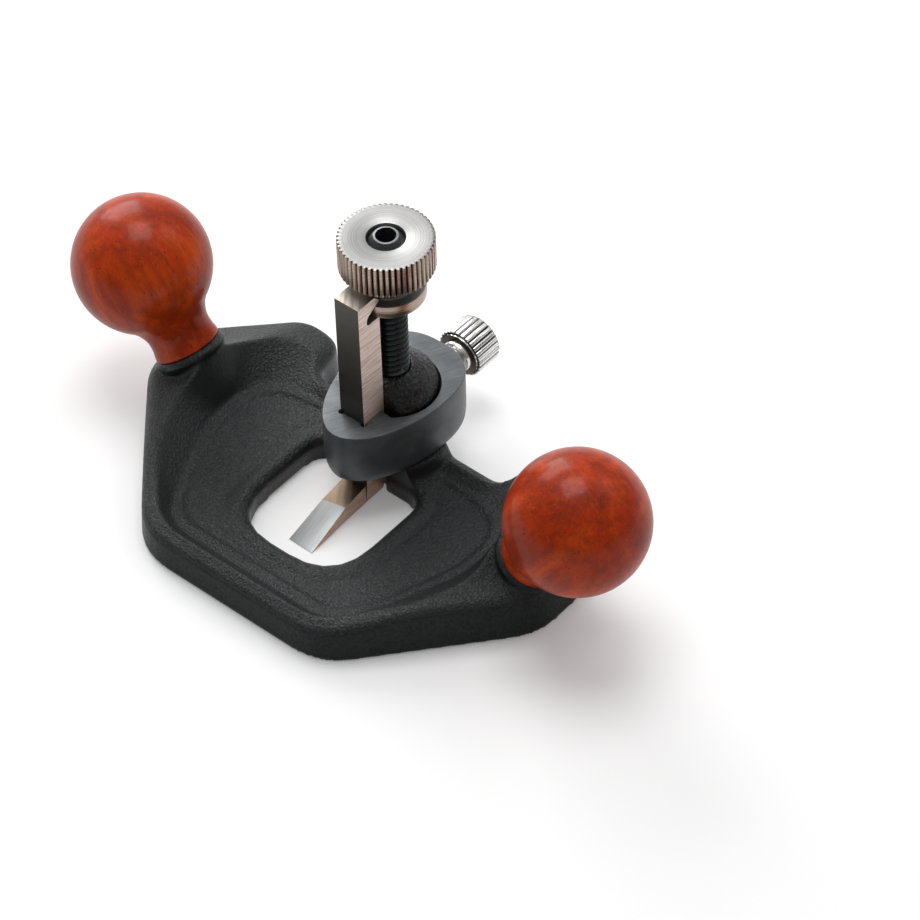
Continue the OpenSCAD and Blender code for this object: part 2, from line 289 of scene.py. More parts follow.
@dataclass(frozen=True)
class CastingPaint:
    """Black orange-peel coating on the iron casting, which runs smooth on the steep walls, where the colour is
    darkened as painted shade.
    """

    name: str = "casting_paint"
    colour: Triple = (0.0125, 0.0148, 0.0152)
    gloss: float = 0.32
    shine: float = 0.34
    peel_mm: float = 0.66
    peel_depth_mm: float = 0.24
    smooth_shaded_walls: bool = True

    def build(self) -> Material:
        """Makes the material.

        Returns:
            The finished material.
        """
        sheet = Finish(self.name)
        spot = sheet.place()
        peel = sheet.noise(spot, self.peel_mm, 2.5, 0.55, 0.5)
        broad = sheet.noise(spot, 16.0)
        fine = sheet.noise(spot, 0.30)
        upward = sheet.parts(sheet.node("NewGeometry").outputs["Normal"])[2]
        depth = sheet.span(upward, 0.45, 0.80, 0.20 if self.smooth_shaded_walls else 1.0)
        height = sheet.math("MULTIPLY", sheet.span(peel, 0.30, 0.70), depth)
        relief = sheet.bump(fine, 0.012, sheet.bump(height, self.peel_depth_mm))
        high = toned(self.colour, 1.35)
        shade = sheet.ramp(peel, [(0.36, toned(self.colour, 0.70)), (0.64, high)])
        shade = sheet.mix(sheet.span(broad, 0.35, 0.70, 0.0, 0.30), shade, high)
        if self.smooth_shaded_walls:
            # Painted shade: steep faces are mixed towards a darker copy of the paint colour.
            shade = sheet.mix(sheet.span(upward, 0.30, 0.80, 0.90, 0.0), shade, toned(self.colour, 0.55))
        rough = sheet.math("ADD", sheet.span(peel, 0.3, 0.7, 0.08, -0.04), self.gloss)
        return sheet.dress(Base_Color=shade, Roughness=rough, Normal=relief, Specular_IOR_Level=self.shine)


@dataclass(frozen=True)
class LinedMetal:
    """Metal with straight fine lines over a soft cloud: the ground sole, unless told otherwise."""

    name: str = "ground_sole"
    low: Triple = (0.22, 0.22, 0.215)
    high: Triple = (0.30, 0.30, 0.295)
    line: Triple = (0.42, 0.42, 0.41)
    fade: Triple = (0.35, 0.65, 0.35)
    turn: Triple = (0.0, 0.0, 0.0)
    stretch: float = 40.0
    line_mm: float = 0.35
    cloud: tuple[float, float] = (9.0, 3.0)
    metal: float = 1.0
    rough: float = 0.30
    relief_mm: float = 0.012

    def build(self) -> Material:
        """Makes the material.

        Returns:
            The finished material.
        """
        sheet = Finish(self.name)
        lines = sheet.noise(sheet.place(turn=self.turn, stretch=(self.stretch, 1, 1)), self.line_mm, 3.0, 0.7)
        shade = sheet.ramp(sheet.noise(sheet.place(), *self.cloud), [(0.3, self.low), (0.7, self.high)])
        start, end, share = self.fade
        return sheet.dress(
            Base_Color=sheet.mix(sheet.span(lines, start, end, 0.0, share), shade, self.line),
            Metallic=self.metal,
            Roughness=sheet.span(lines, 0.3, 0.7, self.rough, 0.48),
            Normal=sheet.bump(lines, self.relief_mm),
        )


@dataclass(frozen=True)
class VarnishedWood:
    """Red-brown tropical hardwood under a clear gloss varnish, its grain along one knob's axis."""

    name: str
    foot: Triple
    lean: float

    def build(self) -> Material:
        """Makes the material.

        Returns:
            The finished material.
        """
        sheet = Finish(self.name)

        def along(stretch: float, *noise: float) -> Socket:
            """Noise that is drawn out along the knob's axis."""
            return sheet.noise(sheet.place(self.foot, (0.0, self.lean, 0.0), (1, 1, stretch)), *noise)

        grain = along(9, 2.6, 4.0, 0.6, 0.4)
        bands = along(3.5, 11.0, 2.0, 0.5, 0.8)
        pores = along(8, 0.42, 1.0)
        fleck = along(1, 1.1, 3.0, 0.65)
        stops = [(0.30, (0.26, 0.0190, 0.0012)), (0.50, (0.39, 0.0300, 0.0018)), (0.72, (0.53, 0.060, 0.0035))]
        wood = sheet.ramp(bands, stops)
        wood = sheet.mix(sheet.span(grain, 0.40, 0.66, 0.0, 0.55), wood, (0.15, 0.015, 0.002))
        wood = sheet.mix(sheet.span(fleck, 0.52, 0.75, 0.0, 0.30), wood, (0.58, 0.085, 0.007))
        dark = sheet.span(pores, 0.66, 0.74, 0.0, 0.85)
        return sheet.dress(
            Base_Color=sheet.mix(dark, wood, (0.045, 0.009, 0.005)),
            Roughness=0.42,
            Specular_IOR_Level=0.08,
            Coat_Weight=0.32,
            Coat_IOR=1.38,
            Coat_Roughness=0.17,
            Normal=sheet.bump(dark, 0.03),
        )


@dataclass(frozen=True)
class BlackOxide:
    """Blued steel of the clamp collar: dull, cool and nearly black."""

    name: str = "black_oxide"
    colour: Triple = (0.086, 0.095, 0.101)
    gloss: float = 0.40

    def build(self) -> Material:
        """Makes the material.

        Returns:
            The finished material.
        """
        sheet = Finish(self.name)
        spot = sheet.place()
        cloud = sheet.noise(spot, 7.0, 3.0, 0.6)
        speck = sheet.noise(spot, 0.5, 2.0, 0.6)
        return sheet.dress(
            Base_Color=sheet.ramp(cloud, [(0.3, toned(self.colour, 0.75)), (0.7, toned(self.colour, 1.25))]),
            Metallic=0.35,
            Roughness=sheet.math("ADD", sheet.span(speck, 0.3, 0.7, -0.04, 0.06), self.gloss),
            Normal=sheet.bump(speck, 0.012),
            Specular_IOR_Level=0.5,
        )


@dataclass(frozen=True)
class GroundSteel:
    """Tool steel with the slanted lines of a surface grinder."""

    name: str
    low: Triple
    high: Triple
    turn: Triple = (0.0, 0.0, 0.0)
    rough: float = 0.34
    line_mm: float = 0.55
    contrast: float = 1.0
    metal: float = 1.0
    relief_mm: float = 0.012

    def build(self) -> Material:
        """Makes the material.

        Returns:
            The finished material.
        """
        sheet = Finish(self.name)
        lines = sheet.noise(sheet.place(turn=self.turn, stretch=(26, 26, 1)), self.line_mm, 3.0, 0.7)
        cloud = sheet.noise(sheet.place(), 8.0, 3.0)
        spread = 0.16 / self.contrast
        shade = sheet.ramp(lines, [(0.5 - spread, self.low), (0.5 + spread, self.high)])
        return sheet.dress(
            Base_Color=sheet.mix(sheet.span(cloud, 0.35, 0.7, 0.0, 0.25), shade, self.low),
            Metallic=self.metal,
            Roughness=sheet.span(lines, 0.3, 0.7, self.rough - 0.04, self.rough + 0.08),
            Normal=sheet.bump(lines, self.relief_mm),
        )


@dataclass(frozen=True)
class TurnedSteel:
    """Bright stainless with the rings that a lathe tool leaves round an axis."""

    name: str
    centre: Triple = (0.0, 0.0, 0.0)
    turn: Triple = (0.0, 0.0, 0.0)
    low: Triple = (0.52, 0.515, 0.50)
    high: Triple = (0.66, 0.655, 0.64)
    rough: float = 0.30
    shaded_groove_mm: tuple[float, float] | None = None
    brushed: float = 0.0

    def build(self) -> Material:
        """Makes the material.

        Returns:
            The finished material.
        """
        sheet = Finish(self.name)
        spot = sheet.place(self.centre, self.turn)
        x, y, z = sheet.parts(spot)
        radius = sheet.radius(x, y)
        joined = sheet.node("CombineXYZ", {"X": radius, "Z": z})
        rings = sheet.noise(joined.outputs["Vector"], 0.28, 3.0, 0.7)
        cloud = sheet.noise(spot, 4.0, 3.0, 0.6)
        shade = sheet.ramp(rings, [(0.34, self.low), (0.66, self.high)])
        shade = sheet.mix(sheet.span(cloud, 0.35, 0.75, 0.0, 0.30), shade, self.low)
        if self.shaded_groove_mm is not None:
            streaks = sheet.noise(sheet.place(self.centre, self.turn, (1, 1, 14)), 0.5)
            shade = sheet.mix(sheet.span(streaks, 0.4, 0.7, 0.0, 0.5), shade, self.low)
            # Painted shade: groove bottoms are darkened.
            shade = sheet.mix(sheet.shaded_grooves(radius, self.shaded_groove_mm), shade, (0.018, 0.015, 0.013))
        if self.brushed:
            sweep = sheet.node("Tangent", direction_type="RADIAL", axis="Z").outputs["Tangent"]
            sheet.dress(Anisotropic=self.brushed, Anisotropic_Rotation=0.25, Tangent=sweep)
        return sheet.dress(
            Base_Color=shade,
            Metallic=1.0,
            Roughness=sheet.span(rings, 0.3, 0.7, self.rough - 0.03, self.rough + 0.05),
            Normal=sheet.bump(rings, 0.006),
        )


@dataclass(frozen=True)
class BlackSteel:
    """Black oxide on a bought screw: oily and fairly glossy."""

    name: str = "black_steel"
    colour: Triple = (0.012, 0.0135, 0.0145)
    rough: float = 0.24
    grit_mm: float = 0.004
    metal: float = 0.0
    shaded_groove_mm: tuple[float, float] | None = None

    def build(self) -> Material:
        """Makes the material.

        Returns:
            The finished material.
        """
        sheet = Finish(self.name)
        speck = sheet.noise(sheet.place(), 0.6, 3.0, 0.6)
        tone = sheet.ramp(speck, [(0.35, self.colour), (0.7, toned(self.colour, 1.4))])
        rough = sheet.span(speck, 0.3, 0.7, self.rough - 0.04, self.rough + 0.06)
        if self.shaded_groove_mm is not None:
            x, y, _ = sheet.parts(sheet.place())
            deep = sheet.shaded_grooves(sheet.radius(x, y), self.shaded_groove_mm)
            # Painted shade: thread roots are darkened.
            tone = sheet.mix(deep, tone, (0.002, 0.002, 0.002))
            rough = sheet.math("ADD", rough, sheet.math("MULTIPLY", deep, 0.35))
        return sheet.dress(
            Base_Color=tone,
            Metallic=self.metal,
            Specular_IOR_Level=0.6,
            Roughness=rough,
            Normal=sheet.bump(speck, self.grit_mm),
        )


@dataclass(frozen=True)
class PressedBrass:
    """Plain turned brass of the threaded inserts."""

    name: str = "pressed_brass"

    def build(self) -> Material:
        """Makes the material.

        Returns:
            The finished material.
        """
        sheet = Finish(self.name)
        cloud = sheet.noise(sheet.place(), 2.5, 3.0)
        return sheet.dress(
            Base_Color=sheet.ramp(cloud, [(0.3, (0.52, 0.34, 0.11)), (0.7, (0.72, 0.52, 0.20))]),
            Metallic=1.0,
            Roughness=sheet.span(cloud, 0.3, 0.7, 0.24, 0.36),
        )


@dataclass(frozen=True)
class StudioFloor:
    """White sweep that keeps the plane's shadow."""

    name: str = "studio_floor"
    colour: Triple = (0.80, 0.80, 0.80)
    lift: float = 0.16

    def build(self) -> Material:
        """Makes the material.

        Returns:
            The finished material.
        """
        sheet = Finish(self.name)
        cloud = sheet.noise(sheet.place(), 400.0, 1.0)
        tone = sheet.ramp(cloud, [(0.3, toned(self.colour, 0.99)), (0.7, self.colour)])
        sheet.dress(Base_Color=tone, Roughness=0.9, Specular_IOR_Level=0.0)
        seen = sheet.seen_by("Is Camera Ray", "Is Glossy Ray", "Is Transmission Ray")
        glow = sheet.node("Emission", {"Strength": sheet.math("MULTIPLY", seen, self.lift)})
        both = sheet.node("AddShader", {0: sheet.shader.outputs["BSDF"], 1: glow.outputs["Emission"]})
        sheet.join(both.outputs["Shader"], sheet.output.inputs["Surface"])
        return sheet.material


# ---------------------------------------------------------------- mesh helpers


def new_piece(name: str, bm: BMesh, materials: Sequence[Material]) -> Object:
    """Turns a bmesh in millimetres into an object in metres.

    Args:
        name: The object's name.
        bm: The mesh, which is freed.
        materials: Its material slots in order.

    Returns:
        The linked object.
    """
    bmesh.ops.scale(bm, vec=(MM, MM, MM), verts=bm.verts)
    mesh = bpy.data.meshes.new(name)
    bm.to_mesh(mesh)
    bm.free()
    for material in materials:
        mesh.materials.append(material)
    made = bpy.data.objects.new(name, mesh)
    bpy.context.scene.collection.objects.link(made)
    return made


def bake(piece: Object) -> None:
    """Applies a piece's modifiers to its mesh.

    Args:
        piece: The object to settle.
    """
    graph = bpy.context.evaluated_depsgraph_get()
    graph.update()
    settled = bpy.data.meshes.new_from_object(piece.evaluated_get(graph))
    old = piece.data
    piece.modifiers.clear()
    piece.data = settled
    settled.name = piece.name
    bpy.data.meshes.remove(old)


def carve(
    piece: Object, tools: Sequence[BMesh], operation: str = "DIFFERENCE"
) -> None:
    """Cuts, joins or trims a piece with closed meshes in millimetres.

    Args:
        piece: The object that is changed.
        tools: The closed meshes, each freed.
        operation: DIFFERENCE, UNION or INTERSECT.
    """
    cutters = [new_piece(f"{piece.name}_tool{i}", bm, []) for i, bm in enumerate(tools)]
    for cutter in cutters:
        made = piece.modifiers.new(cutter.name, "BOOLEAN")
        made.operation = operation
        made.solver = "EXACT"
        made.object = cutter
    bake(piece)
    for cutter in cutters:
        bpy.data.objects.remove(cutter)


def soften(piece: Object, width_mm: float, angle_deg: float = 32.0, segments: int = 2) -> None:
    """Rounds a piece's sharp edges with a bevel and shades it by angle.

    Args:
        piece: The object that is changed.
        width_mm: Width of the rounding.
        angle_deg: Edges sharper than this are rounded.
        segments: Facets across the rounding.
    """
    made = piece.modifiers.new("edge_round", "BEVEL")
    made.width = width_mm * MM
    made.segments = segments
    made.limit_method = "ANGLE"
    made.angle_limit = math.radians(angle_deg)
    bake(piece)
    shade(piece, angle_deg)


def shade(piece: Object, angle_deg: float = 32.0) -> None:
    """Shades a piece smooth, apart from edges sharper than angle_deg.

    Args:
        piece: The object that is changed.
        angle_deg: The sharpest angle that is still shaded smooth.
    """
    mesh = piece.data
    mesh.polygons.foreach_set("use_smooth", [True] * len(mesh.polygons))
    mesh.set_sharp_from_angle(angle=math.radians(angle_deg))
    mesh.update()


def paint_where(piece: Object, slot: int, test: Callable[[Vector, Vector], bool]) -> None:
    """Gives a material slot to the faces that pass a test.

    Args:
        piece: The object that is changed.
        slot: The slot's number.
        test: Takes a face's centre and normal, in millimetres, and says yes or no.
    """
    for face in piece.data.polygons:
        if test(face.center / MM, face.normal):
            face.material_index = slot


def lathe(profile: Profile, steps: int = 96, bored: bool = False) -> BMesh:
    """Spins a profile round Z.

    Args:
        profile: Radius and height of each point, from the bottom of the axis to its top.
        steps: Facets in a full turn.
        bored: The profile runs round a bore, back to its first point.

    Returns:
        A closed mesh.
    """
    bm = bmesh.new()
    verts = [bm.verts.new((radius, 0.0, height)) for radius, height in profile]
    pairs = zip(verts[-1:] + verts, verts) if bored else zip(verts, verts[1:])
    edges = [bm.edges.new(pair) for pair in pairs]
    bmesh.ops.spin(
        bm, geom=verts + edges, cent=(0, 0, 0), axis=(0, 0, 1), angle=math.tau, steps=steps, use_merge=True
    )
    bmesh.ops.remove_doubles(bm, verts=bm.verts, dist=1e-4)
    bmesh.ops.recalc_face_normals(bm, faces=bm.faces)
    return bm


def block(low: Sequence[float], high: Sequence[float]) -> BMesh:
    """A box between two corners.

    Args:
        low: Its lowest corner.
        high: Its highest corner.

    Returns:
        A closed mesh.
    """
    bm = bmesh.new()
    bmesh.ops.create_cube(bm, size=1.0)
    size = [b - a for a, b in zip(low, high)]
    bmesh.ops.scale(bm, vec=size, verts=bm.verts)
    bmesh.ops.translate(bm, vec=[(a + b) / 2 for a, b in zip(low, high)], verts=bm.verts)
    return bm


def rod(radius: float, low: float, high: float, sides: int = 64, place: Matrix | None = None) -> BMesh:
    """A cylinder along Z, then placed.

    Args:
        radius: Its radius.
        low: Height of its lower end.
        high: Height of its upper end.
        sides: Facets round it.
        place: A matrix that puts it in its place.

    Returns:
        A closed mesh.
    """
    bm = bmesh.new()
    bmesh.ops.create_cone(
        bm, cap_ends=True, segments=sides, radius1=radius, radius2=radius, depth=high - low
    )
    bmesh.ops.translate(bm, vec=(0, 0, (low + high) / 2), verts=bm.verts)
    if place is not None:
        bmesh.ops.transform(bm, matrix=place, verts=bm.verts)
    return bm


def loft(rings: Sequence[Sequence[Vector]], closed: bool) -> BMesh:
    """Draws a loop from ring to ring.

    Args:
        rings: Rings of equally many points, in millimetres.
        closed: Joins the last ring to the first, else each end is capped.

    Returns:
        A closed mesh.
    """
    bm = bmesh.new()
    made = bmesh.ops.create_circle(bm, segments=len(rings[0]), radius=1.0)
    loop = made["verts"]
    edges = list({e for v in loop for e in v.link_edges})
    for vert, point in zip(loop, rings[0]):
        vert.co = point
    first_edges = edges
    for points in rings[1:]:
        grown = bmesh.ops.extrude_edge_only(bm, edges=edges)["geom"]
        fresh = [g for g in grown if isinstance(g, bmesh.types.BMVert)]
        partner = {}
        for vert in fresh:
            for edge in vert.link_edges:
                other = edge.other_vert(vert)
                if other not in fresh:
                    partner[other] = vert
        loop = [partner[vert] for vert in loop]
        for vert, point in zip(loop, points):
            vert.co = point
        edges = [g for g in grown if isinstance(g, bmesh.types.BMEdge) and all(v in fresh for v in g.verts)]
    if closed:
        bmesh.ops.bridge_loops(bm, edges=list(first_edges) + list(edges))
    else:
        bmesh.ops.holes_fill(bm, edges=[e for e in bm.edges if e.is_boundary], sides=0)
    bmesh.ops.recalc_face_normals(bm, faces=bm.faces)
    return bm


def bezier_ring(corners: Sequence[tuple[float, float, float, float]], steps: int = 5) -> list[Vector]:
    """A mirrored ring with rounded corners.

    Args:
        corners: X, Y, Z and tangent length of each corner of the right half, front to rear.
        steps: Facets of each rounded corner.

    Returns:
        The ring's points, anticlockwise from above.
    """
    whole = list(corners) + [(-x, y, z, t) for x, y, z, t in reversed(corners)]
    points: list[Vector] = []
    for i, (x, y, z, t) in enumerate(whole):
        here = Vector((x, y, z))
        before = Vector(whole[i - 1][:3])
        after = Vector(whole[(i + 1) % len(whole)][:3])
        start = here + (before - here).normalized() * t
        end = here + (after - here).normalized() * t
        for k in range(steps + 1):
            u = k / steps
            points.append(start * (1 - u) ** 2 + here * (2 * u * (1 - u)) + end * u**2)
    return points


def hull_of(tools: Sequence[BMesh]) -> BMesh:
    """The convex skin round several meshes.

    Args:
        tools: The meshes, each freed.

    Returns:
        A closed mesh.
    """
    bm = bmesh.new()
    for tool in tools:
        for vert in tool.verts:
            bm.verts.new(vert.co)
        tool.free()
    made = bmesh.ops.convex_hull(bm, input=bm.verts)
    spare = [g for g in made["geom_interior"] + made["geom_unused"] if isinstance(g, bmesh.types.BMVert)]
    bmesh.ops.delete(bm, geom=list(set(spare)), context="VERTS")
    bmesh.ops.recalc_face_normals(bm, faces=bm.faces)
    return bm


def slice_off(bm: BMesh, y: float, way: int) -> None:
    """Cuts a closed mesh flat across Y and closes the cut.

    Args:
        bm: The mesh that is changed.
        y: Where it is cut.
        way: Drops what lies behind the cut for 1, and in front of it for -1.
    """
    geom = list(bm.verts) + list(bm.edges) + list(bm.faces)
    bmesh.ops.bisect_plane(bm, geom=geom, plane_co=(0, y, 0), plane_no=(0, way, 0), clear_outer=True)
    bmesh.ops.holes_fill(bm, edges=[e for e in bm.edges if e.is_boundary], sides=0)
    bmesh.ops.recalc_face_normals(bm, faces=bm.faces)


# ---------------------------------------------------------------- sub-assemblies


@dataclass
class KnobAxis:
    """Where a knob stands on the casting, in millimetres."""

    side: Side
    foot_x: float = 60.0
    front: float = KNOB_FRONT
    foot_z: float = 18.6
    lean_deg: float = 34.0

    @property
    def foot(self) -> Vector:
        """Centre of the knob's foot."""
        return Vector((self.side.value * self.foot_x, -self.front, self.foot_z))

    @property
    def lean(self) -> float:
        """The turn about Y that takes Z onto the knob's axis, in radians."""
        return math.radians(self.side.value * self.lean_deg)

    @property
    def matrix(self) -> Matrix:
        """Takes a shape on Z onto the knob's axis."""
        return Matrix.Translation(self.foot) @ Matrix.Rotation(self.lean, 4, "Y")


@dataclass
class Casting:
    """The iron body: rim, recessed panel, mouth, knob pads, shoulder and post."""

    wing_reach: float = 68.4
    front_reach: float = 66.8
    nose_half: float = 31.0
    wing_rear: float = 18.7
    waist_rear: float = 6.1
    panel_h: float = 7.0
    front_rim_h: float = 10.4
    side_rim_h: float = 14.4
    mouth_half: float = 18.0
    mouth_front: float = 46.0
    mouth_rear: float = -9.7
    post_r: float = 12.1
    post_h: float = 38.2
    flat_y: float = -8.09
    shoulder_h: float = 12.8
    voxel: float = 0.58
    smooth_rounds: int = 2
    groove_slack: float = 0.05
    screw_gap: float = 0.3
    head_gap: float = 0.45
    sole_band: float = 0.35
    post_zone: tuple[float, float] = (13.2, 13.4)
    wall_top: float = 21.0

    def outline(self, inset: float, drop: float, level: float | None = None) -> Corners:
        """Corners of the outline.

        Args:
            inset: How far it is drawn in.
            drop: How far it lies below the rim.
            level: A plain height instead of the rim's.

        Returns:
            Corners of the right half.
        """
        w, f = self.wing_reach - inset, self.front_reach - inset
        r, s = self.wing_rear - inset, self.waist_rear - inset
        half = inset / 2
        a, b = -f + 50.2 + half, -9.2 - half

        def height(value: float) -> float:
            """The rim's height, or the plain one."""
            return value - drop if level is None else level

        return [
            (self.nose_half - half, -f, height(self.front_rim_h), 9),
            (self.nose_half + 17 - inset, -f + 19.6, height(self.side_rim_h), 6),
            (w, a - 7, height(self.side_rim_h - 0.4), 7),
            (w, a + (b - a) * 0.35, height(self.side_rim_h - 0.8), (b - a) * 0.1),
            (w, a + (b - a) * 0.65, height(self.side_rim_h - 1.0), (b - a) * 0.1),
            (w, b + 5, height(self.side_rim_h - 1.4), 5),
            (47 - half, r, height(12), 4.5),
            (34.5 + half, r, height(10.5), 5),
            (32 + half, s, height(9.6), 4),
        ]

    def ridge(self) -> Corners:
        """Corners of the rim's inner ridge.

        Returns:
            Corners of the right half, front to rear.
        """
        f, w, h = self.front_reach, self.wing_reach, self.side_rim_h
        return [
            (28.2, -f + 4, self.front_rim_h + 0.9, 8.5),
            (w - 23.4, -43, h - 0.6, 6),
            (w - 16.8, -29.5, h + 1.2, 5),
            (w - 17.4, -KNOB_FRONT - 4.3, h + 6.6, 4),
            (w - 17, -KNOB_FRONT + 3.2, h + 7.2, 3.5),
            (w - 17.6, -2.5, h + 1.8, 4),
            (w - 22.4, 7.2, 13.8, 4.5),
            (36, self.wing_rear - 8, 11.6, 4),
            (30.5, self.waist_rear - 3.9, 10, 3.5),
        ]

    def wall_foot(self) -> Corners:
        """Corners of the rim wall's foot.

        Returns:
            Corners of the right half, front to rear.
        """
        z = self.panel_h + 1
        return [
            (28.3, -self.front_reach + 7.4, z, 8),
            (37.4, -42.3, z, 6),
            (43.6, -27, z, 5),
            (44.7, -20, z, 1.5),
            (44.7, -15.5, z, 1.5),
            (43.9, -8.6, z, 3.5),
            (41, -2.8, z, 2.5),
            (35, -1.2, z, 2),
            (29, -0.6, z, 3),
        ]

    def panel_edge(self, inset: float = 0.0, z: float | None = None) -> Corners:
        """Corners of the recessed panel's edge.

        Args:
            inset: How far it is drawn in.
            z: Its height, or the panel's.

        Returns:
            Corners of the right half.
        """
        z = self.panel_h if z is None else z
        d = inset
        return [
            (27.6 - d * 0.5, -self.front_reach + 11.8 + d, z, 7.5),
            (34.8 - d, -40.5 + d * 0.5, z, 5),
            (40.2 - d, -26, z, 4.5),
            (41.2 - d, -19.2, z, 1.5),
            (41.2 - d, -15.8, z, 1.5),
            (40.4 - d, -10.6 - d * 0.3, z, 2.5),
            (37.6 - d * 0.7, -5.8 - d, z, 2.5),
            (32.5, -4 - d, z, 2),
            (27, -2.8 - d, z, 3),
        ]

    def round_mouth(self, outside: float, z: float) -> Corners:
        """Corners of a ring round the mouth.

        Args:
            outside: How far outside the mouth's wall.
            z: Its height.

        Returns:
            Corners of the right half.
        """
        g = outside
        x, f, r = self.mouth_half + g, self.mouth_front + g, self.mouth_rear + g * 0.6
        t, u = 15 + g / 2, 6.2 + g / 2
        a, b = -f + t, r - u
        stations = (0.12, 0.27, 0.42, 0.55, 0.67, 0.79, 0.9)
        side = [(x, a + (b - a) * k, z, (b - a) * 0.04) for k in stations]
        return [(x, -f, z, t), *side, (x, r, z, u)]

    def rings(self) -> list[list[Vector]]:
        """Every ring of the frame, up the outside, over the rim and down the mouth.

        Returns:
            Rings with equally many points.
        """
        p = self.panel_h
        rows = [
            self.outline(0.5, 0, 0),
            self.outline(0, 0, 0.8),
            self.outline(0.5, 1.8),
            self.outline(1.5, 0.4),
            self.outline(2.6, 0),
            self.ridge(),
            self.wall_foot(),
            self.panel_edge(-0.6, p + 0.9),
            self.panel_edge(),
            self.round_mouth(6.9, p - 0.1),
            self.round_mouth(6.2, p - 0.6),
            self.round_mouth(5.2, p - 0.1),
            self.round_mouth(3.4, p + 0.5),
            self.round_mouth(1.9, p + 0.3),
            self.round_mouth(0.7, p - 0.6),
            self.round_mouth(0, p - 2),
            self.round_mouth(0, 0),
        ]
        return [bezier_ring(row) for row in rows]

    def pad(self, axis: KnobAxis) -> BMesh:
        """The leaning pad under one knob.

        Args:
            axis: The knob's axis.

        Returns:
            A closed mesh, in millimetres.
        """
        flat = KNOB_FOOT_R + 0.2
        base = Matrix.Translation((axis.foot.x, axis.foot.y, 0))
        return hull_of(
            [
                rod(flat - 0.2, -0.4, 0, 48, axis.matrix),
                rod(flat + 0.4, -2, -1.2, 48, axis.matrix),
                rod(flat * math.cos(math.radians(axis.lean_deg)) - 0.6, 0.5, self.panel_h, 48, base),
            ]
        )

    def post(self) -> BMesh:
        """The round post with its domed top and front flat.

        Returns:
            A closed mesh, in millimetres.
        """
        r, h = self.post_r, self.post_h
        profile = [
            (0, 0), (r, 0), (r, h - 7.2), (r - 0.55, h - 5), (r - 1.8, h - 3.2), (r - 3.7, h - 1.7),
            (r - 5.6, h - 0.7), (r - 7, h - 0.1), (r - 7.6, h), (0, h),
        ]
        bm = lathe(profile)
        slice_off(bm, self.flat_y + self.groove_slack, -1)
        return bm

    def shoulder(self) -> BMesh:
        """The flared shoulder under the collar.

        Returns:
            A closed mesh, in millimetres.
        """
        p, s = self.panel_h, self.shoulder_h
        profile = [
            (0, 0.5), (21.5, 0.5), (21.5, p - 0.4), (18.2, p + 0.4), (16, p + 2.2), (14.6, s - 0.6), (14.2, s), (0, s),
        ]
        bm = lathe(profile)
        slice_off(bm, self.mouth_rear + 0.5, -1)
        slice_off(bm, self.waist_rear - 0.6, 1)
        return bm

    def bores(self, axes: Sequence[KnobAxis]) -> list[BMesh]:
        """The groove, the stud's hole and the knob screws' bores.

        Args:
            axes: Both knobs' axes.

        Returns:
            Closed meshes, in millimetres.
        """
        half = SHANK / 2 + 0.3
        front, rear = self.flat_y - self.groove_slack - SHANK, self.flat_y + self.groove_slack
        tools = [
            block((-half, front, -1), (half, rear, self.shoulder_h + 2)),
            rod(STUD_R + 0.12, self.post_h - 22, self.post_h + 2),
        ]
        for axis in axes:
            tools.append(rod(SCREW_R + self.screw_gap, -9.5, 1, 48, axis.matrix))
            tools.append(rod(SCREW_HEAD_R + self.head_gap, -38.5, -8.6, 48, axis.matrix))
        return tools

    def settle(self, piece: Object) -> None:
        """Melts the joined solids into one cast skin and levels the sole.

        Args:
            piece: The casting's object.
        """
        melt = piece.modifiers.new("melt", "REMESH")
        melt.mode = "VOXEL"
        melt.voxel_size = self.voxel * MM
        bake(piece)
        bm = bmesh.new()
        bm.from_mesh(piece.data)
        for _ in range(self.smooth_rounds):
            bmesh.ops.smooth_vert(
                bm, verts=bm.verts, factor=0.5, use_axis_x=True, use_axis_y=True, use_axis_z=True
            )
        for vert in bm.verts:
            if vert.co.z < self.sole_band * MM:
                vert.co.z = 0.0
        bmesh.ops.recalc_face_normals(bm, faces=bm.faces)
        bm.to_mesh(piece.data)
        bm.free()

    def build(self, axes: Sequence[KnobAxis]) -> Object:
        """Makes the casting.

        Args:
            axes: Both knobs' axes.

        Returns:
            The finished piece.
        """
        solids = [loft(self.rings(), True), *(self.pad(axis) for axis in axes), self.post(), self.shoulder()]
        parts = []
        for i, bm in enumerate(solids):
            parts.append(new_piece(f"casting_solid{i}", bm, []))
            carve(parts[-1], self.bores(axes))
        joined = bmesh.new()
        for part in parts:
            joined.from_mesh(part.data)
        piece = parts.pop(0)
        joined.to_mesh(piece.data)
        joined.free()
        for part in parts:
            bpy.data.objects.remove(part)
        piece.name = "casting"
        self.settle(piece)
        finishes = [
            CastingPaint(),
            # The post's paint is a darker and glossier copy of the casting paint; the darker colour is painted shade.
            CastingPaint("post_paint_shaded", (0.0030, 0.0039, 0.0036), 0.22, 0.38, 1.0, 0.26, False),
            LinedMetal(),
            # The outer walls' paint is a smoother copy of the casting paint, its colour and shine set to how those
            # walls are lit: painted light and shade.
            CastingPaint("wall_paint_shaded", (0.0175, 0.0200, 0.0203), 0.36, 0.08, 0.9, 0.04, False),
        ]
        piece.data.materials.clear()
        for finish in finishes:
            piece.data.materials.append(finish.build())
        post_r, post_z = self.post_zone
        steep, middle_y, clear = 0.40, -18.0, 8.0

        def outer_wall(c: Vector, n: Vector) -> bool:
            """True for a steep face that looks away from the casting's middle."""
            outward = n.x * c.x + n.y * (c.y - middle_y)
            return n.z < steep and c.z < self.wall_top and outward > clear

        paint_where(piece, 0, lambda c, n: True)
        # Painted shade on the post's faces.
        paint_where(piece, 1, lambda c, n: math.hypot(c.x, c.y) < post_r and c.z > post_z)
        # Painted light and shade on the outer walls.
        paint_where(piece, 3, outer_wall)
        paint_where(piece, 2, lambda c, n: c.z < 0.05 and n.z < -0.9)
        shade(piece, 60)
        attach(piece, Carrier.BODY.value)
        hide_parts("body_casting")
        return piece


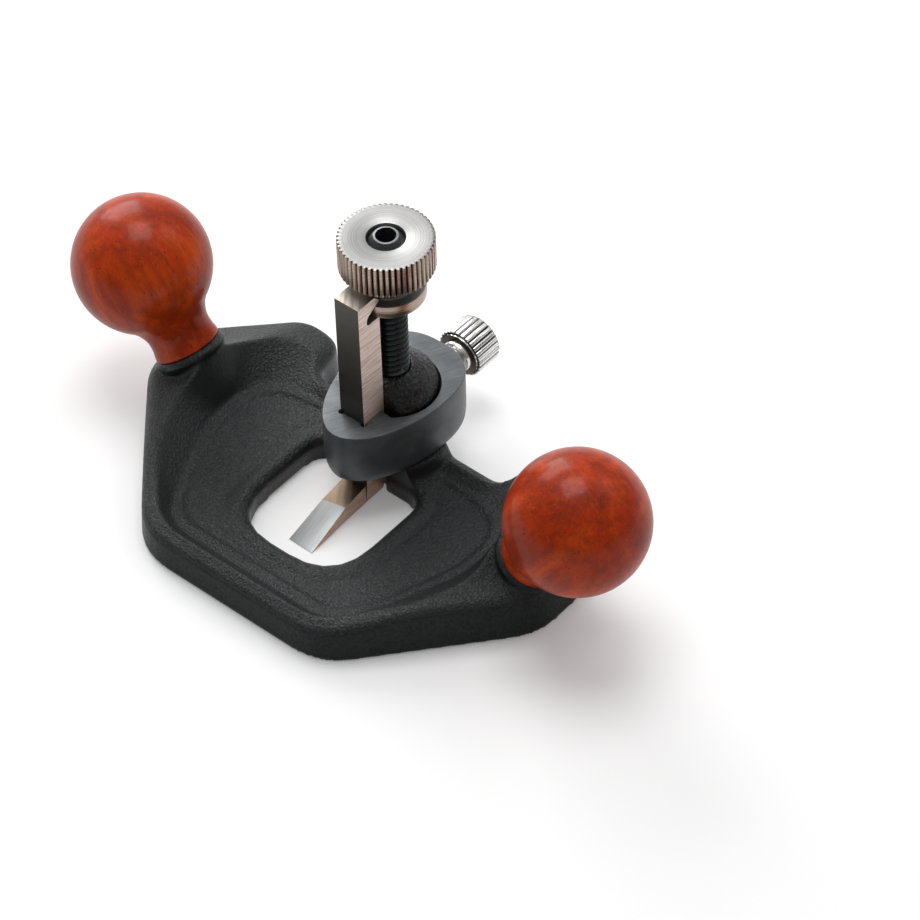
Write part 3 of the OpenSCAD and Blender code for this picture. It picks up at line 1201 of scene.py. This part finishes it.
@dataclass
class Knob:
    """One turned ball knob with its waisted foot."""

    axis: KnobAxis
    ball_d: float = 38.1
    rise: float = 26.1
    foot_r: float = KNOB_FOOT_R
    neck_top: float = 10.9
    facets: int = 34

    def profile(self) -> list[tuple[float, float]]:
        """Radius and height of the knob's outline, from its foot to its crown.

        Returns:
            The points, in millimetres.
        """
        r, ball = self.foot_r, self.ball_d / 2
        neck = [
            (0.0, 0.05), (r - 0.5, 0.05), (r - 0.1, 0.25), (r, 0.7), (r - 0.14, 1.5), (r - 0.33, 2.4),
            (r - 0.45, 3.4), (r - 0.5, 4.4), (r - 0.46, 5.3), (r - 0.33, 6.2), (r - 0.08, 7.1),
            (r + 0.27, 8.0), (r + 0.72, 8.9), (r + 1.28, 9.8),
        ]
        start = math.acos((self.rise - self.neck_top) / ball)
        arc = []
        for k in range(self.facets):
            angle = math.pi - start + (start - math.pi) * k / self.facets
            arc.append((ball * math.sin(angle), self.rise + ball * math.cos(angle)))
        return [*neck, *arc, (0.0, self.rise + ball)]

    def build(self) -> Object:
        """Makes the knob.

        Returns:
            The finished piece.
        """
        bm = lathe(self.profile(), 96)
        bmesh.ops.transform(bm, matrix=self.axis.matrix, verts=bm.verts)
        word = self.axis.side.word
        foot = tuple(c * MM for c in self.axis.foot)
        wood = VarnishedWood(f"{word}_knob_wood", foot, self.axis.lean).build()
        piece = new_piece(f"{word}_ball_knob", bm, [wood])
        shade(piece, 40)
        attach(piece, Carrier.BODY.value)
        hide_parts(f"{word}_knob")
        return piece


@dataclass
class Knurl:
    """Straight teeth round a rim."""

    radius: float
    teeth: int
    depth: float
    per_tooth: int = 10

    @property
    def steps(self) -> int:
        """Facets in a full turn of the knurled piece."""
        return self.teeth * self.per_tooth

    def dip(self, angle: float) -> float:
        """How far the rim lies in at an angle.

        Args:
            angle: The angle round the axis, in radians.

        Returns:
            The depth in millimetres.
        """
        phase = (angle * self.teeth / math.tau) % 1.0
        slope = abs(phase - 0.5) * 2.0
        return self.depth * min(1.0, max(0.0, (0.54 - slope) / 0.46))

    def cut(self, bm: BMesh, low: float, high: float, floor: float) -> None:
        """Presses the teeth into a turned mesh.

        Args:
            bm: The mesh, turned round Z with this knurl's steps.
            low: Where the teeth start.
            high: Where they end.
            floor: Points inside this radius stay.
        """
        for vert in bm.verts:
            reach = math.hypot(vert.co.x, vert.co.y)
            if reach < floor or not low <= vert.co.z <= high:
                continue
            inset = self.dip(math.atan2(vert.co.y, vert.co.x))
            share = max(0.0, min(1.0, (reach - (self.radius - self.depth)) / self.depth))
            factor = (reach - inset * share) / reach
            vert.co.x *= factor
            vert.co.y *= factor


@dataclass
class AdjusterWheel:
    """Knurled wheel with its neck and the disc that drives the blade."""

    top: float = 83.2
    rim_h: float = 9.5
    radius: float = 12.7
    disc_gap: float = 5.95
    disc_r: float = 10.0
    disc_h: float = 3.9
    neck_r: float = 7.0
    recess_r: float = 5.1
    recess_h: float = 4.2
    bore_r: float = 4.81
    teeth: int = 52

    def profile(self) -> list[tuple[float, float]]:
        """The wheel's half section, from the bore's lower end round to its recess.

        Returns:
            The points, in millimetres.
        """
        top, rim = self.top, self.top - self.rim_h
        high = rim - self.disc_gap
        low = high - self.disc_h
        r, disc, neck = self.radius, self.disc_r, self.neck_r
        well, bore = self.recess_r, self.bore_r
        return [
            (bore, low + 0.3), (bore + 0.3, low), (disc - 0.35, low), (disc - 0.1, low + 0.08),
            (disc, low + 0.35), (disc, high - 0.35), (disc - 0.1, high - 0.08), (disc - 0.35, high),
            (neck + 0.4, high), (neck, high + 0.4), (neck, rim - 0.4), (neck + 0.4, rim), (r - 1.5, rim),
            (r - 0.40, rim), (r - 0.12, rim + 0.10), (r, rim + 0.42), (r, top - 0.42), (r - 0.10, top - 0.14),
            (r - 0.34, top), (r - 1.5, top), (well + 0.35, top), (well + 0.1, top - 0.1),
            (well, top - 0.35), (well, top - self.recess_h), (bore, top - self.recess_h),
        ]

    def build(self) -> Object:
        """Makes the wheel.

        Returns:
            The finished piece.
        """
        r, rim = self.radius, self.top - self.rim_h
        disc_top = rim - self.disc_gap
        knurl = Knurl(r, self.teeth, 0.68)
        bm = lathe(self.profile(), knurl.steps, bored=True)
        knurl.cut(bm, rim - 0.01, self.top + 0.01, r - 0.9)
        # Radii of the knurl's grooves, which get painted shade.
        shaded_grooves = (r - 0.62, r - 0.16)
        # Painted shade and reflection: the top face is a darker copy of the turned steel, the neck a dark one for its
        # shade, and the knurl and disc are tinted brown as a painted reflection of wood.
        finishes = [
            TurnedSteel("wheel_face_painted_shade", low=(0.25, 0.249, 0.244), high=(0.41, 0.408, 0.401), rough=0.38, brushed=0.35),
            TurnedSteel("wheel_knurl_painted_reflection", low=(0.24, 0.180, 0.142), high=(0.58, 0.475, 0.40), shaded_groove_mm=shaded_grooves),
            TurnedSteel("wheel_neck_painted_shade", low=(0.16, 0.154, 0.144), high=(0.30, 0.29, 0.27), rough=0.34),
            TurnedSteel("wheel_disc_painted_reflection", low=(0.28, 0.205, 0.163), high=(0.47, 0.375, 0.31), rough=0.28),
        ]
        piece = new_piece("adjuster_wheel_turned", bm, [f.build() for f in finishes])
        paint_where(piece, 1, lambda c, n: c.z > rim - 0.01 and math.hypot(c.x, c.y) > r - 1.2 and abs(n.z) < 0.93)
        paint_where(piece, 2, lambda c, n: disc_top + 0.01 < c.z < rim + 0.01 and math.hypot(c.x, c.y) < r)
        paint_where(piece, 3, lambda c, n: c.z < disc_top - 0.1 and abs(n.z) < 0.5)
        shade(piece, 38)
        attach(piece, Carrier.WHEEL.value)
        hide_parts("adjuster_wheel")
        return piece


@dataclass
class AdjusterStud:
    """Black socket-ended stud with a real helical thread."""

    foot_z: float = 16.4
    thread_z: float = 37.0
    thread_top: float = 80.5
    top: float = 83.8
    radius: float = STUD_R
    pitch: float = 1.9
    root: float = 3.75
    socket_af: float = 4.76

    def thread(self) -> BMesh:
        """The threaded length, one pitch of profile screwed round Z.

        Returns:
            A closed mesh, in millimetres.
        """
        bm = bmesh.new()
        p, crest, root = self.pitch, self.radius, self.root
        shape = [
            (root, 0.0), (root, p * 0.10), (crest - 0.06, p * 0.46), (crest, p * 0.52),
            (crest - 0.06, p * 0.60), (root, p * 0.94), (root, p),
        ]
        verts = [bm.verts.new((r, 0.0, self.thread_z + z)) for r, z in shape]
        edges = [bm.edges.new(pair) for pair in zip(verts, verts[1:])]
        turns = int((self.thread_top - self.thread_z) / p) - 1
        steps = 40
        bmesh.ops.spin(
            bm,
            geom=verts + edges,
            cent=(0, 0, 0),
            axis=(0, 0, 1),
            dvec=(0, 0, p / steps),
            angle=math.tau * turns,
            steps=steps * turns,
        )
        bmesh.ops.remove_doubles(bm, verts=bm.verts, dist=1e-3)
        bmesh.ops.recalc_face_normals(bm, faces=bm.faces)
        return bm

    def core(self) -> BMesh:
        """The plain core with its chamfered top.

        Returns:
            A closed mesh, in millimetres.
        """
        r, inner, foot, top = self.radius, self.root - 0.05, self.foot_z, self.top
        start, end = self.thread_z, self.thread_top
        profile = [
            (0, foot), (r - 0.5, foot), (r, foot + 0.5), (r, start + 0.9), (inner, start + 1.6),
            (inner, end - 2.0), (r, end - 1.3), (r, top - 1.7), (r - 1.45, top - 0.08), (r - 1.6, top), (0, top),
        ]
        return lathe(profile, 72)

    def build(self) -> Object:
        """Makes the stud.

        Returns:
            The finished piece.
        """
        steel = BlackSteel("stud_steel").build()
        # The top end face and its chamfer are coloured light grey.
        light_end = BlackSteel("stud_end", (0.20, 0.215, 0.22), 0.26).build()
        piece = new_piece("adjuster_stud_core", self.core(), [steel, light_end])
        socket = rod(self.socket_af / 2 / math.cos(math.pi / 6), self.top - 4.5, self.top + 1, 6)
        mouth = bmesh.new()
        bmesh.ops.create_cone(mouth, cap_ends=True, segments=48, radius1=2.45, radius2=2.85, depth=1.6)
        bmesh.ops.translate(mouth, vec=(0, 0, self.top - 0.4), verts=mouth.verts)
        carve(piece, [socket, mouth])
        paint_where(piece, 1, lambda c, n: c.z > self.top - 0.1 and n.z > 0.2)
        shade(piece, 35)
        # Painted light and shade: the thread is a lighter copy of the black steel so its crests stand out, with its
        # roots darkened.
        crests = BlackSteel("thread_steel_painted_light", (0.050, 0.058, 0.059), 0.22, 0.0, 0.9, (self.root, self.radius - 0.25))
        helix = new_piece("adjuster_stud_thread", self.thread(), [crests.build()])
        shade(helix, 75)
        for part in (piece, helix):
            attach(part, Carrier.BODY.value)
        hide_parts("adjuster_stud")
        return piece


@dataclass
class Blade:
    """Square-shanked blade with its notch, heel, foot and bevel."""

    rear_y: float = -8.14
    top: float = 71.3
    edge_reach: float = 38.6
    foot_w: float = 6.8
    foot_h: float = 4.8
    bevel_run: float = 13.4
    foot_rise: float = 1.4
    edge_z: float = 0.15
    heel_z: float = 0.6
    notch_depth: float = 4.85
    notch_low: float = 63.6
    notch_high: float = 68.0
    notch_inner: float = 2.55
    notch_rise: float = 5.55

    # Limits of the faces that get the blade's painted light, shade and reflection.
    facing: float = 0.5
    sideways: float = 0.7
    heel_zone: float = 20.0
    foot_zone: float = 25.0

    @property
    def front(self) -> float:
        """Y of the shank's front face."""
        return self.rear_y - SHANK

    @property
    def rise(self) -> float:
        """Y of the bevel's top line."""
        return self.bevel_run - self.edge_reach

    def skew(self, vert: bmesh.types.BMVert) -> None:
        """Shifts an end of the bevel's top line, which runs a little askew."""
        vert.co.y += 1.0 if vert.co.x > 0 else -0.6

    def stem(self) -> BMesh:
        """The upright shank."""
        half = SHANK / 2
        return block((-half, self.front, self.foot_h + 2.2), (half, self.rear_y, self.top))

    def heel(self) -> BMesh:
        """The heel that narrows from the shank to the foot.

        Returns:
            A closed mesh, in millimetres.
        """
        half, narrow, front = SHANK / 2, self.foot_w / 2, self.front
        shank = block((-half, front, self.foot_h + 2.2), (half, self.rear_y, self.foot_h + 2.7))
        foot = block((-narrow, front, self.heel_z), (narrow, self.rear_y - 1.2, self.heel_z + self.foot_h))
        return hull_of([shank, foot])

    def foot(self) -> BMesh:
        """The forward foot up to the bevel's top line.

        Returns:
            A closed mesh, in millimetres.
        """
        narrow, base = self.foot_w / 2, self.edge_z + 0.15
        high = self.heel_z + self.foot_h + self.foot_rise
        bm = block((-narrow, self.rise, base), (narrow, self.front + 0.8, high))
        for vert in bm.verts:
            if vert.co.y < self.rise + 0.5:
                self.skew(vert)
                if vert.co.z > 3:
                    vert.co.z = base + self.foot_h
            elif vert.co.z < 3:
                vert.co.z = self.heel_z
        return bm

    def bevel(self) -> BMesh:
        """The ground bevel down to the cutting edge.

        Returns:
            A closed mesh, in millimetres.
        """
        narrow, half, base = self.foot_w / 2, SHANK / 2, self.edge_z + 0.15
        bm = block((-narrow, -self.edge_reach, self.edge_z), (narrow, self.rise, base + self.foot_h))
        for vert in bm.verts:
            if vert.co.y > self.rise - 0.5:
                self.skew(vert)
                if vert.co.z < 3:
                    vert.co.z = base
            else:
                vert.co.x = math.copysign(half, vert.co.x)
                if vert.co.z > 1:
                    vert.co.z = self.edge_z + 0.05
        return bm

    def notch(self) -> list[BMesh]:
        """The notch for the driving disc and the slanted end of its lip.

        Returns:
            Closed meshes, in millimetres.
        """
        depth = self.rear_y - self.notch_depth
        slot = block((-SHANK, depth, self.notch_low), (SHANK, self.rear_y + 1, self.notch_high))
        slope = (self.notch_rise - self.notch_inner) / self.notch_depth
        for vert in slot.verts:
            if vert.co.z > self.notch_low + 1:
                vert.co.z = self.notch_inner + self.notch_low + slope * (vert.co.y - depth)
        corners = []
        for edge in slot.edges:
            a, b = (vert.co for vert in edge.verts)
            if max(abs(a.y - depth), abs(b.y - depth), abs(a.z - b.z)) < 1e-3:
                corners.append(edge)
        bmesh.ops.bevel(
            slot, geom=corners, offset=1.0, segments=6, profile=0.5, affect="EDGES", material=-1, clamp_overlap=True
        )
        lip = block((-SHANK, 0, 0), (SHANK, 6, 3))
        bmesh.ops.rotate(lip, cent=(0, 0, 0), matrix=Matrix.Rotation(math.radians(-45), 3, "X"), verts=lip.verts)
        bmesh.ops.translate(lip, vec=(0, self.rear_y - 1.7, self.top), verts=lip.verts)
        return [slot, lip]

    def build(self) -> Object:
        """Makes the blade.

        Returns:
            The finished piece.
        """
        slant, across, level = (math.radians(-5), 0.0, 0.0), (0, math.pi / 2, 0), (0, math.pi / 2, 0.6)
        # Painted light, shade and reflection: the front, sides, heel, top and foot are copies of one ground steel,
        # each coloured to how that face is lit, with warm tints as a painted reflection of brown wood.
        finishes = [
            GroundSteel("blade_front_painted_shade", (0.085, 0.080, 0.071), (0.110, 0.103, 0.092), contrast=0.6, relief_mm=0.002),
            GroundSteel("blade_side_painted_light", (0.60, 0.46, 0.40), (0.97, 0.82, 0.75), slant, 0.38, 0.42, 1.8, 0.40, 0.006),
            GroundSteel("blade_bevel", (0.25, 0.260, 0.260), (0.345, 0.356, 0.354), across, 0.32, 0.5, 0.6),
            GroundSteel("blade_top_painted_light", (0.54, 0.480, 0.41), (0.78, 0.70, 0.61), level, 0.36, 0.6, 0.8),
            GroundSteel("blade_foot_painted_reflection", (0.21, 0.153, 0.110), (0.32, 0.238, 0.172), level, 0.36, 0.6, 0.8),
            GroundSteel("blade_heel_painted_reflection", (0.42, 0.265, 0.185), (0.76, 0.50, 0.37), slant, 0.38, 0.42, 1.4, 0.40, 0.006),
        ]
        piece = new_piece("blade_ground", self.stem(), [f.build() for f in finishes])
        carve(piece, [self.heel(), self.foot(), self.bevel()], "UNION")
        carve(piece, self.notch())
        soften(piece, 0.24, 25, 3)
        up, side, bevel_y, bevel_z = self.facing, self.sideways, self.rise + 0.9, self.foot_h + 0.6
        paint_where(piece, 0, lambda c, n: True)
        paint_where(piece, 1, lambda c, n: abs(n.x) > side)
        paint_where(piece, 5, lambda c, n: abs(n.x) > side and c.z < self.heel_zone)
        paint_where(piece, 3, lambda c, n: n.z > up)
        paint_where(piece, 4, lambda c, n: n.z > up and c.z < self.foot_zone)
        paint_where(piece, 2, lambda c, n: n.z > up and c.y < bevel_y and c.z < bevel_z)
        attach(piece, Carrier.BLADE.value)
        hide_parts("blade")
        return piece


@dataclass
class ClampCollar:
    """Egg-shaped collar that pulls the blade back against the post."""

    low: float = 12.85
    height: float = 17.3
    half: float = 14.9
    front: float = 23.7
    rear: float = COLLAR_REAR
    centre_y: float = 3.6
    inner_r: float = 12.6
    inner_y: float = 0.35
    pocket_front: float = -16.13
    pocket_half: float = 4.02
    opening_front: float = -9.54
    relief_r: float = 0.9
    relief_in: float = 0.15
    hole_r: float = 3.25

    def ring(self, rise: float, inset: float, count: int = 120) -> list[Vector]:
        """One ring of the collar's outside.

        Args:
            rise: Its height above the underside.
            inset: How far it is drawn in.
            count: Points round it.

        Returns:
            The ring's points.
        """
        points = []
        for k in range(count):
            t = math.tau * k / count
            c, s = math.cos(t), math.sin(t)
            power, reach = (1.05, self.front + self.centre_y) if s < 0 else (0.78, self.rear - self.centre_y)
            x = math.copysign(self.half * abs(c) ** power, c)
            y = self.centre_y + math.copysign(reach * abs(s) ** power, s)
            flat = Vector((x, y, 0))
            flat *= (flat.length - inset) / flat.length
            points.append(Vector((flat.x, flat.y, self.low + rise)))
        return points

    def tools(self) -> list[BMesh]:
        """The post's opening, the shank's pocket with its corner reliefs, and the screw's hole.

        Returns:
            Closed meshes, in millimetres.
        """
        below, above = self.low - 1, self.low + self.height + 1
        half, front, seam = self.pocket_half, self.pocket_front, self.opening_front
        opening = rod(self.inner_r, below, above, 96, Matrix.Translation((0, self.inner_y, 0)))
        slice_off(opening, seam, -1)
        cuts = [opening, block((-half, front, below), (half, seam + 1, above))]
        for way in (-1, 1):
            corner = Matrix.Translation((way * (half - self.relief_in), front + self.relief_in, 0))
            cuts.append(rod(self.relief_r, below, above, 24, corner))
        cuts.append(rod(self.hole_r, 0, self.rear, 48, Matrix.Translation((0, 11, LOCK_Z)) @ ONTO_Y))
        return cuts

    def build(self) -> Object:
        """Makes the collar.

        Returns:
            The finished piece.
        """
        h, top = self.height, self.low + self.height
        rows = [
            (0, 1.7), (0.35, 1.28), (0.7, 0.95), (1.3, 0.64), (2, 0.4), (3.2, 0.2), (4.5, 0.1), (7, 0.02),
            (h - 0.42, 0.0), (h - 0.16, 0.05), (h - 0.04, 0.16), (h, 0.34),
        ]
        lapped = LinedMetal(
            "black_oxide_lapped",
            low=(0.100, 0.109, 0.115),
            high=(0.150, 0.162, 0.172),
            line=(0.040, 0.042, 0.045),
            fade=(0.45, 0.7, 0.5),
            turn=(0, 0, math.radians(62)),
            stretch=14.0,
            line_mm=0.55,
            cloud=(6.0, 2.0),
            metal=0.45,
            rough=0.34,
            relief_mm=0.015,
        )
        body = loft([self.ring(rise, inset) for rise, inset in rows], False)
        piece = new_piece("collar_blued", body, [BlackOxide().build(), lapped.build()])
        carve(piece, self.tools())
        shade(piece, 30)
        paint_where(piece, 0, lambda c, n: True)
        paint_where(piece, 1, lambda c, n: c.z > top - 0.05 and n.z > 0.8)
        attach(piece, Carrier.COLLAR.value)
        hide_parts("clamp_collar")
        return piece


@dataclass
class LockScrew:
    """Thumb screw that draws the collar back."""

    z: float = LOCK_Z
    tip_y: float = 12.12
    collar_rear: float = COLLAR_REAR
    head_y: float = 26.4
    head_r: float = 7.15
    head_h: float = 9.2
    shank_r: float = SCREW_R
    teeth: int = 26

    def profile(self) -> list[tuple[float, float]]:
        """Radius and height of the screw's outline, from its tip to its head.

        Returns:
            The points, in millimetres.
        """
        r, s, tip = self.head_r, self.shank_r, self.tip_y
        head, end, ring = self.head_y, self.head_y + self.head_h, self.collar_rear + 2.1
        return [
            (0, tip), (s - 0.6, tip), (s, tip + 0.6), (s, ring - 0.1), (4.0, ring + 0.1), (4.1, ring + 0.4),
            (4.1, ring + 1.2), (4.0, ring + 1.5), (s, ring + 1.65), (s, head - 1.5), (4.4, head - 1.35),
            (4.6, head - 1.0), (4.6, head), (r - 1.3, head), (r - 0.9, head + 0.04), (r - 0.86, head + 0.42),
            (r - 0.14, head + 0.50), (r, head + 0.74), (r, end - 0.9), (r - 0.12, end - 0.55),
            (r - 0.75, end - 0.08), (r - 1.1, end), (r * 0.5, end), (0, end),
        ]

    def build(self) -> Object:
        """Makes the lock screw.

        Returns:
            The finished piece.
        """
        r, head, end = self.head_r, self.head_y, self.head_y + self.head_h
        knurl = Knurl(r, self.teeth, 0.62, 12)
        bm = lathe(self.profile(), knurl.steps)
        knurl.cut(bm, head + 0.46, end - 0.04, r - 0.82)
        bmesh.ops.transform(bm, matrix=Matrix.Translation((0, 0, self.z)) @ ONTO_Y, verts=bm.verts)
        centre, turn = (0.0, 0.0, self.z * MM), (-math.pi / 2, 0.0, 0.0)
        bright = TurnedSteel("lock_steel", centre, turn, (0.62, 0.615, 0.60), (0.82, 0.815, 0.80), 0.22)
        # Painted shade: the head's inner face, towards the collar, gets a dark copy of the steel.
        shaded_inner = TurnedSteel("lock_steel_inner_painted_shade", centre, turn, (0.06, 0.051, 0.043), (0.14, 0.123, 0.108), 0.28)
        # The flutes' bottoms get painted shade.
        fluted = TurnedSteel("lock_flutes", centre, turn, bright.low, bright.high, 0.24, (r - 0.60, r - 0.22))
        piece = new_piece("lock_screw_turned", bm, [bright.build(), shaded_inner.build(), fluted.build()])
        paint_where(piece, 1, lambda c, n: head - 0.05 < c.y < head + 0.3 and n.y < -0.3)
        paint_where(piece, 2, lambda c, n: head + 0.45 < c.y < end - 0.1)
        shade(piece, 38)
        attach(piece, Carrier.LOCK.value)
        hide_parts("lock_screw")
        return piece


@dataclass
class Fasteners:
    """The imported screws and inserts, kept as they are under better finishes."""

    screws: tuple[str, ...] = ("left_knob_screw", "right_knob_screw")
    inserts: tuple[str, ...] = ("left_insert", "right_insert")

    def build(self, nodes: dict[str, Object]) -> list[Object]:
        """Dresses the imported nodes.

        Args:
            nodes: The frame's objects by node name.

        Returns:
            The dressed objects.
        """
        steel, brass = BlackSteel("screw_steel", (0.035, 0.035, 0.037), 0.32).build(), PressedBrass().build()
        for names, material in ((self.screws, steel), (self.inserts, brass)):
            for name in names:
                for slot in nodes[name].material_slots:
                    slot.material = material
        return [nodes[name] for name in self.screws + self.inserts]


# ---------------------------------------------------------------- studio


@dataclass
class Studio:
    """Floor, lamps, sky and the camera of the photograph."""

    azimuth: float = 41.412
    elevation: float = 46.356
    roll: float = -1.828
    distance: float = 1.170518
    shift_x: float = 0.016933
    shift_y: float = 0.000880
    focal_px: float = 4388.197
    frame_px: float = 920.0
    sky_from: Triple = (-0.42, 0.42, 0.80)
    sky_low: float = 0.22
    sky_high: float = 0.74

    def camera(self) -> None:
        """Puts the camera where the photograph was taken from."""
        a, e, r = (math.radians(v) for v in (self.azimuth, self.elevation, self.roll))
        back = Vector((math.sin(a) * math.cos(e), -math.cos(a) * math.cos(e), math.sin(e)))
        right = Vector((math.cos(a), math.sin(a), 0))
        up = back.cross(right)
        right, up = right * math.cos(r) + up * math.sin(r), up * math.cos(r) - right * math.sin(r)
        data = bpy.data.cameras.new("camera")
        data.sensor_width = 36.0
        data.lens = self.focal_px / self.frame_px * data.sensor_width
        data.clip_start, data.clip_end = 0.05, 50.0
        eye = bpy.data.objects.new("camera", data)
        spot = right * self.shift_x + up * self.shift_y + back * self.distance
        turn = Matrix((right, up, back)).transposed()
        eye.matrix_world = Matrix.Translation(spot) @ turn.to_4x4()
        bpy.context.scene.collection.objects.link(eye)
        bpy.context.scene.camera = eye

    def lamp(self, name: str, spot: Triple, power: float, size: float) -> None:
        """Adds a square soft lamp that faces the plane.

        Args:
            name: The lamp's name.
            spot: Its place, in metres.
            power: Its power, in watts.
            size: Its side, in metres.
        """
        data = bpy.data.lights.new(name, "AREA")
        data.energy, data.size = power, size
        lamp = bpy.data.objects.new(name, data)
        lamp.location = spot
        aim = Vector((0, -0.02, 0.02)) - Vector(spot)
        lamp.rotation_euler = aim.to_track_quat("-Z", "Y").to_euler()
        bpy.context.scene.collection.objects.link(lamp)

    def floor(self) -> None:
        """Lays the white floor under the sole."""
        bm = bmesh.new()
        bmesh.ops.create_grid(bm, x_segments=2, y_segments=2, size=3000.0)
        floor = new_piece("floor", bm, [StudioFloor().build()])

    def sky(self) -> None:
        """Sets a pale sky, brighter over the rear left, that shows white to the camera."""
        world = bpy.data.worlds.new("studio")
        bpy.context.scene.world = world
        world.use_nodes = True
        sheet = NodeSheet(world.node_tree)
        glow = sheet.tree.nodes["Background"]
        glow.inputs["Color"].default_value = (1, 1, 1, 1)
        feeds = {0: sheet.node("TexCoord").outputs["Generated"], 1: Vector(self.sky_from).normalized()}
        aim = sheet.node("VectorMath", feeds, operation="DOT_PRODUCT")
        soft = sheet.span(aim.outputs["Value"], 0.10, 0.95, self.sky_low, self.sky_high)
        seen = sheet.seen_by("Is Camera Ray", "Is Transmission Ray")
        sheet.join(sheet.math("MAXIMUM", soft, seen), glow.inputs["Strength"])

    def build(self) -> None:
        """Makes the whole studio."""
        bpy.context.scene.view_settings.view_transform = "Standard"
        self.floor()
        self.sky()
        self.lamp("overhead", (-0.14, 0.10, 1.0), 4.7, 0.52)
        self.lamp("window", (-1.0, 0.45, 0.62), 9.0, 0.75)
        self.lamp("rear", (0.35, 0.80, 0.95), 1.3, 0.60)
        self.camera()


def main() -> None:
    """Builds every sub-assembly in order and reports each piece."""
    logging.basicConfig(level=logging.INFO, format="%(name)s: %(message)s")
    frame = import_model()
    axes = [KnobAxis(side) for side in Side]
    pieces = [Casting().build(axes), *(Knob(axis).build() for axis in axes)]
    pieces += [part().build() for part in (AdjusterStud, AdjusterWheel, Blade, ClampCollar, LockScrew)]
    pieces += Fasteners().build(frame["nodes"])
    for piece in pieces:
        LOG.info("%s: %d faces", piece.name, len(piece.data.polygons))
    Studio().build()
    bpy.context.view_layer.update()


if __name__ == "__main__":
    main()
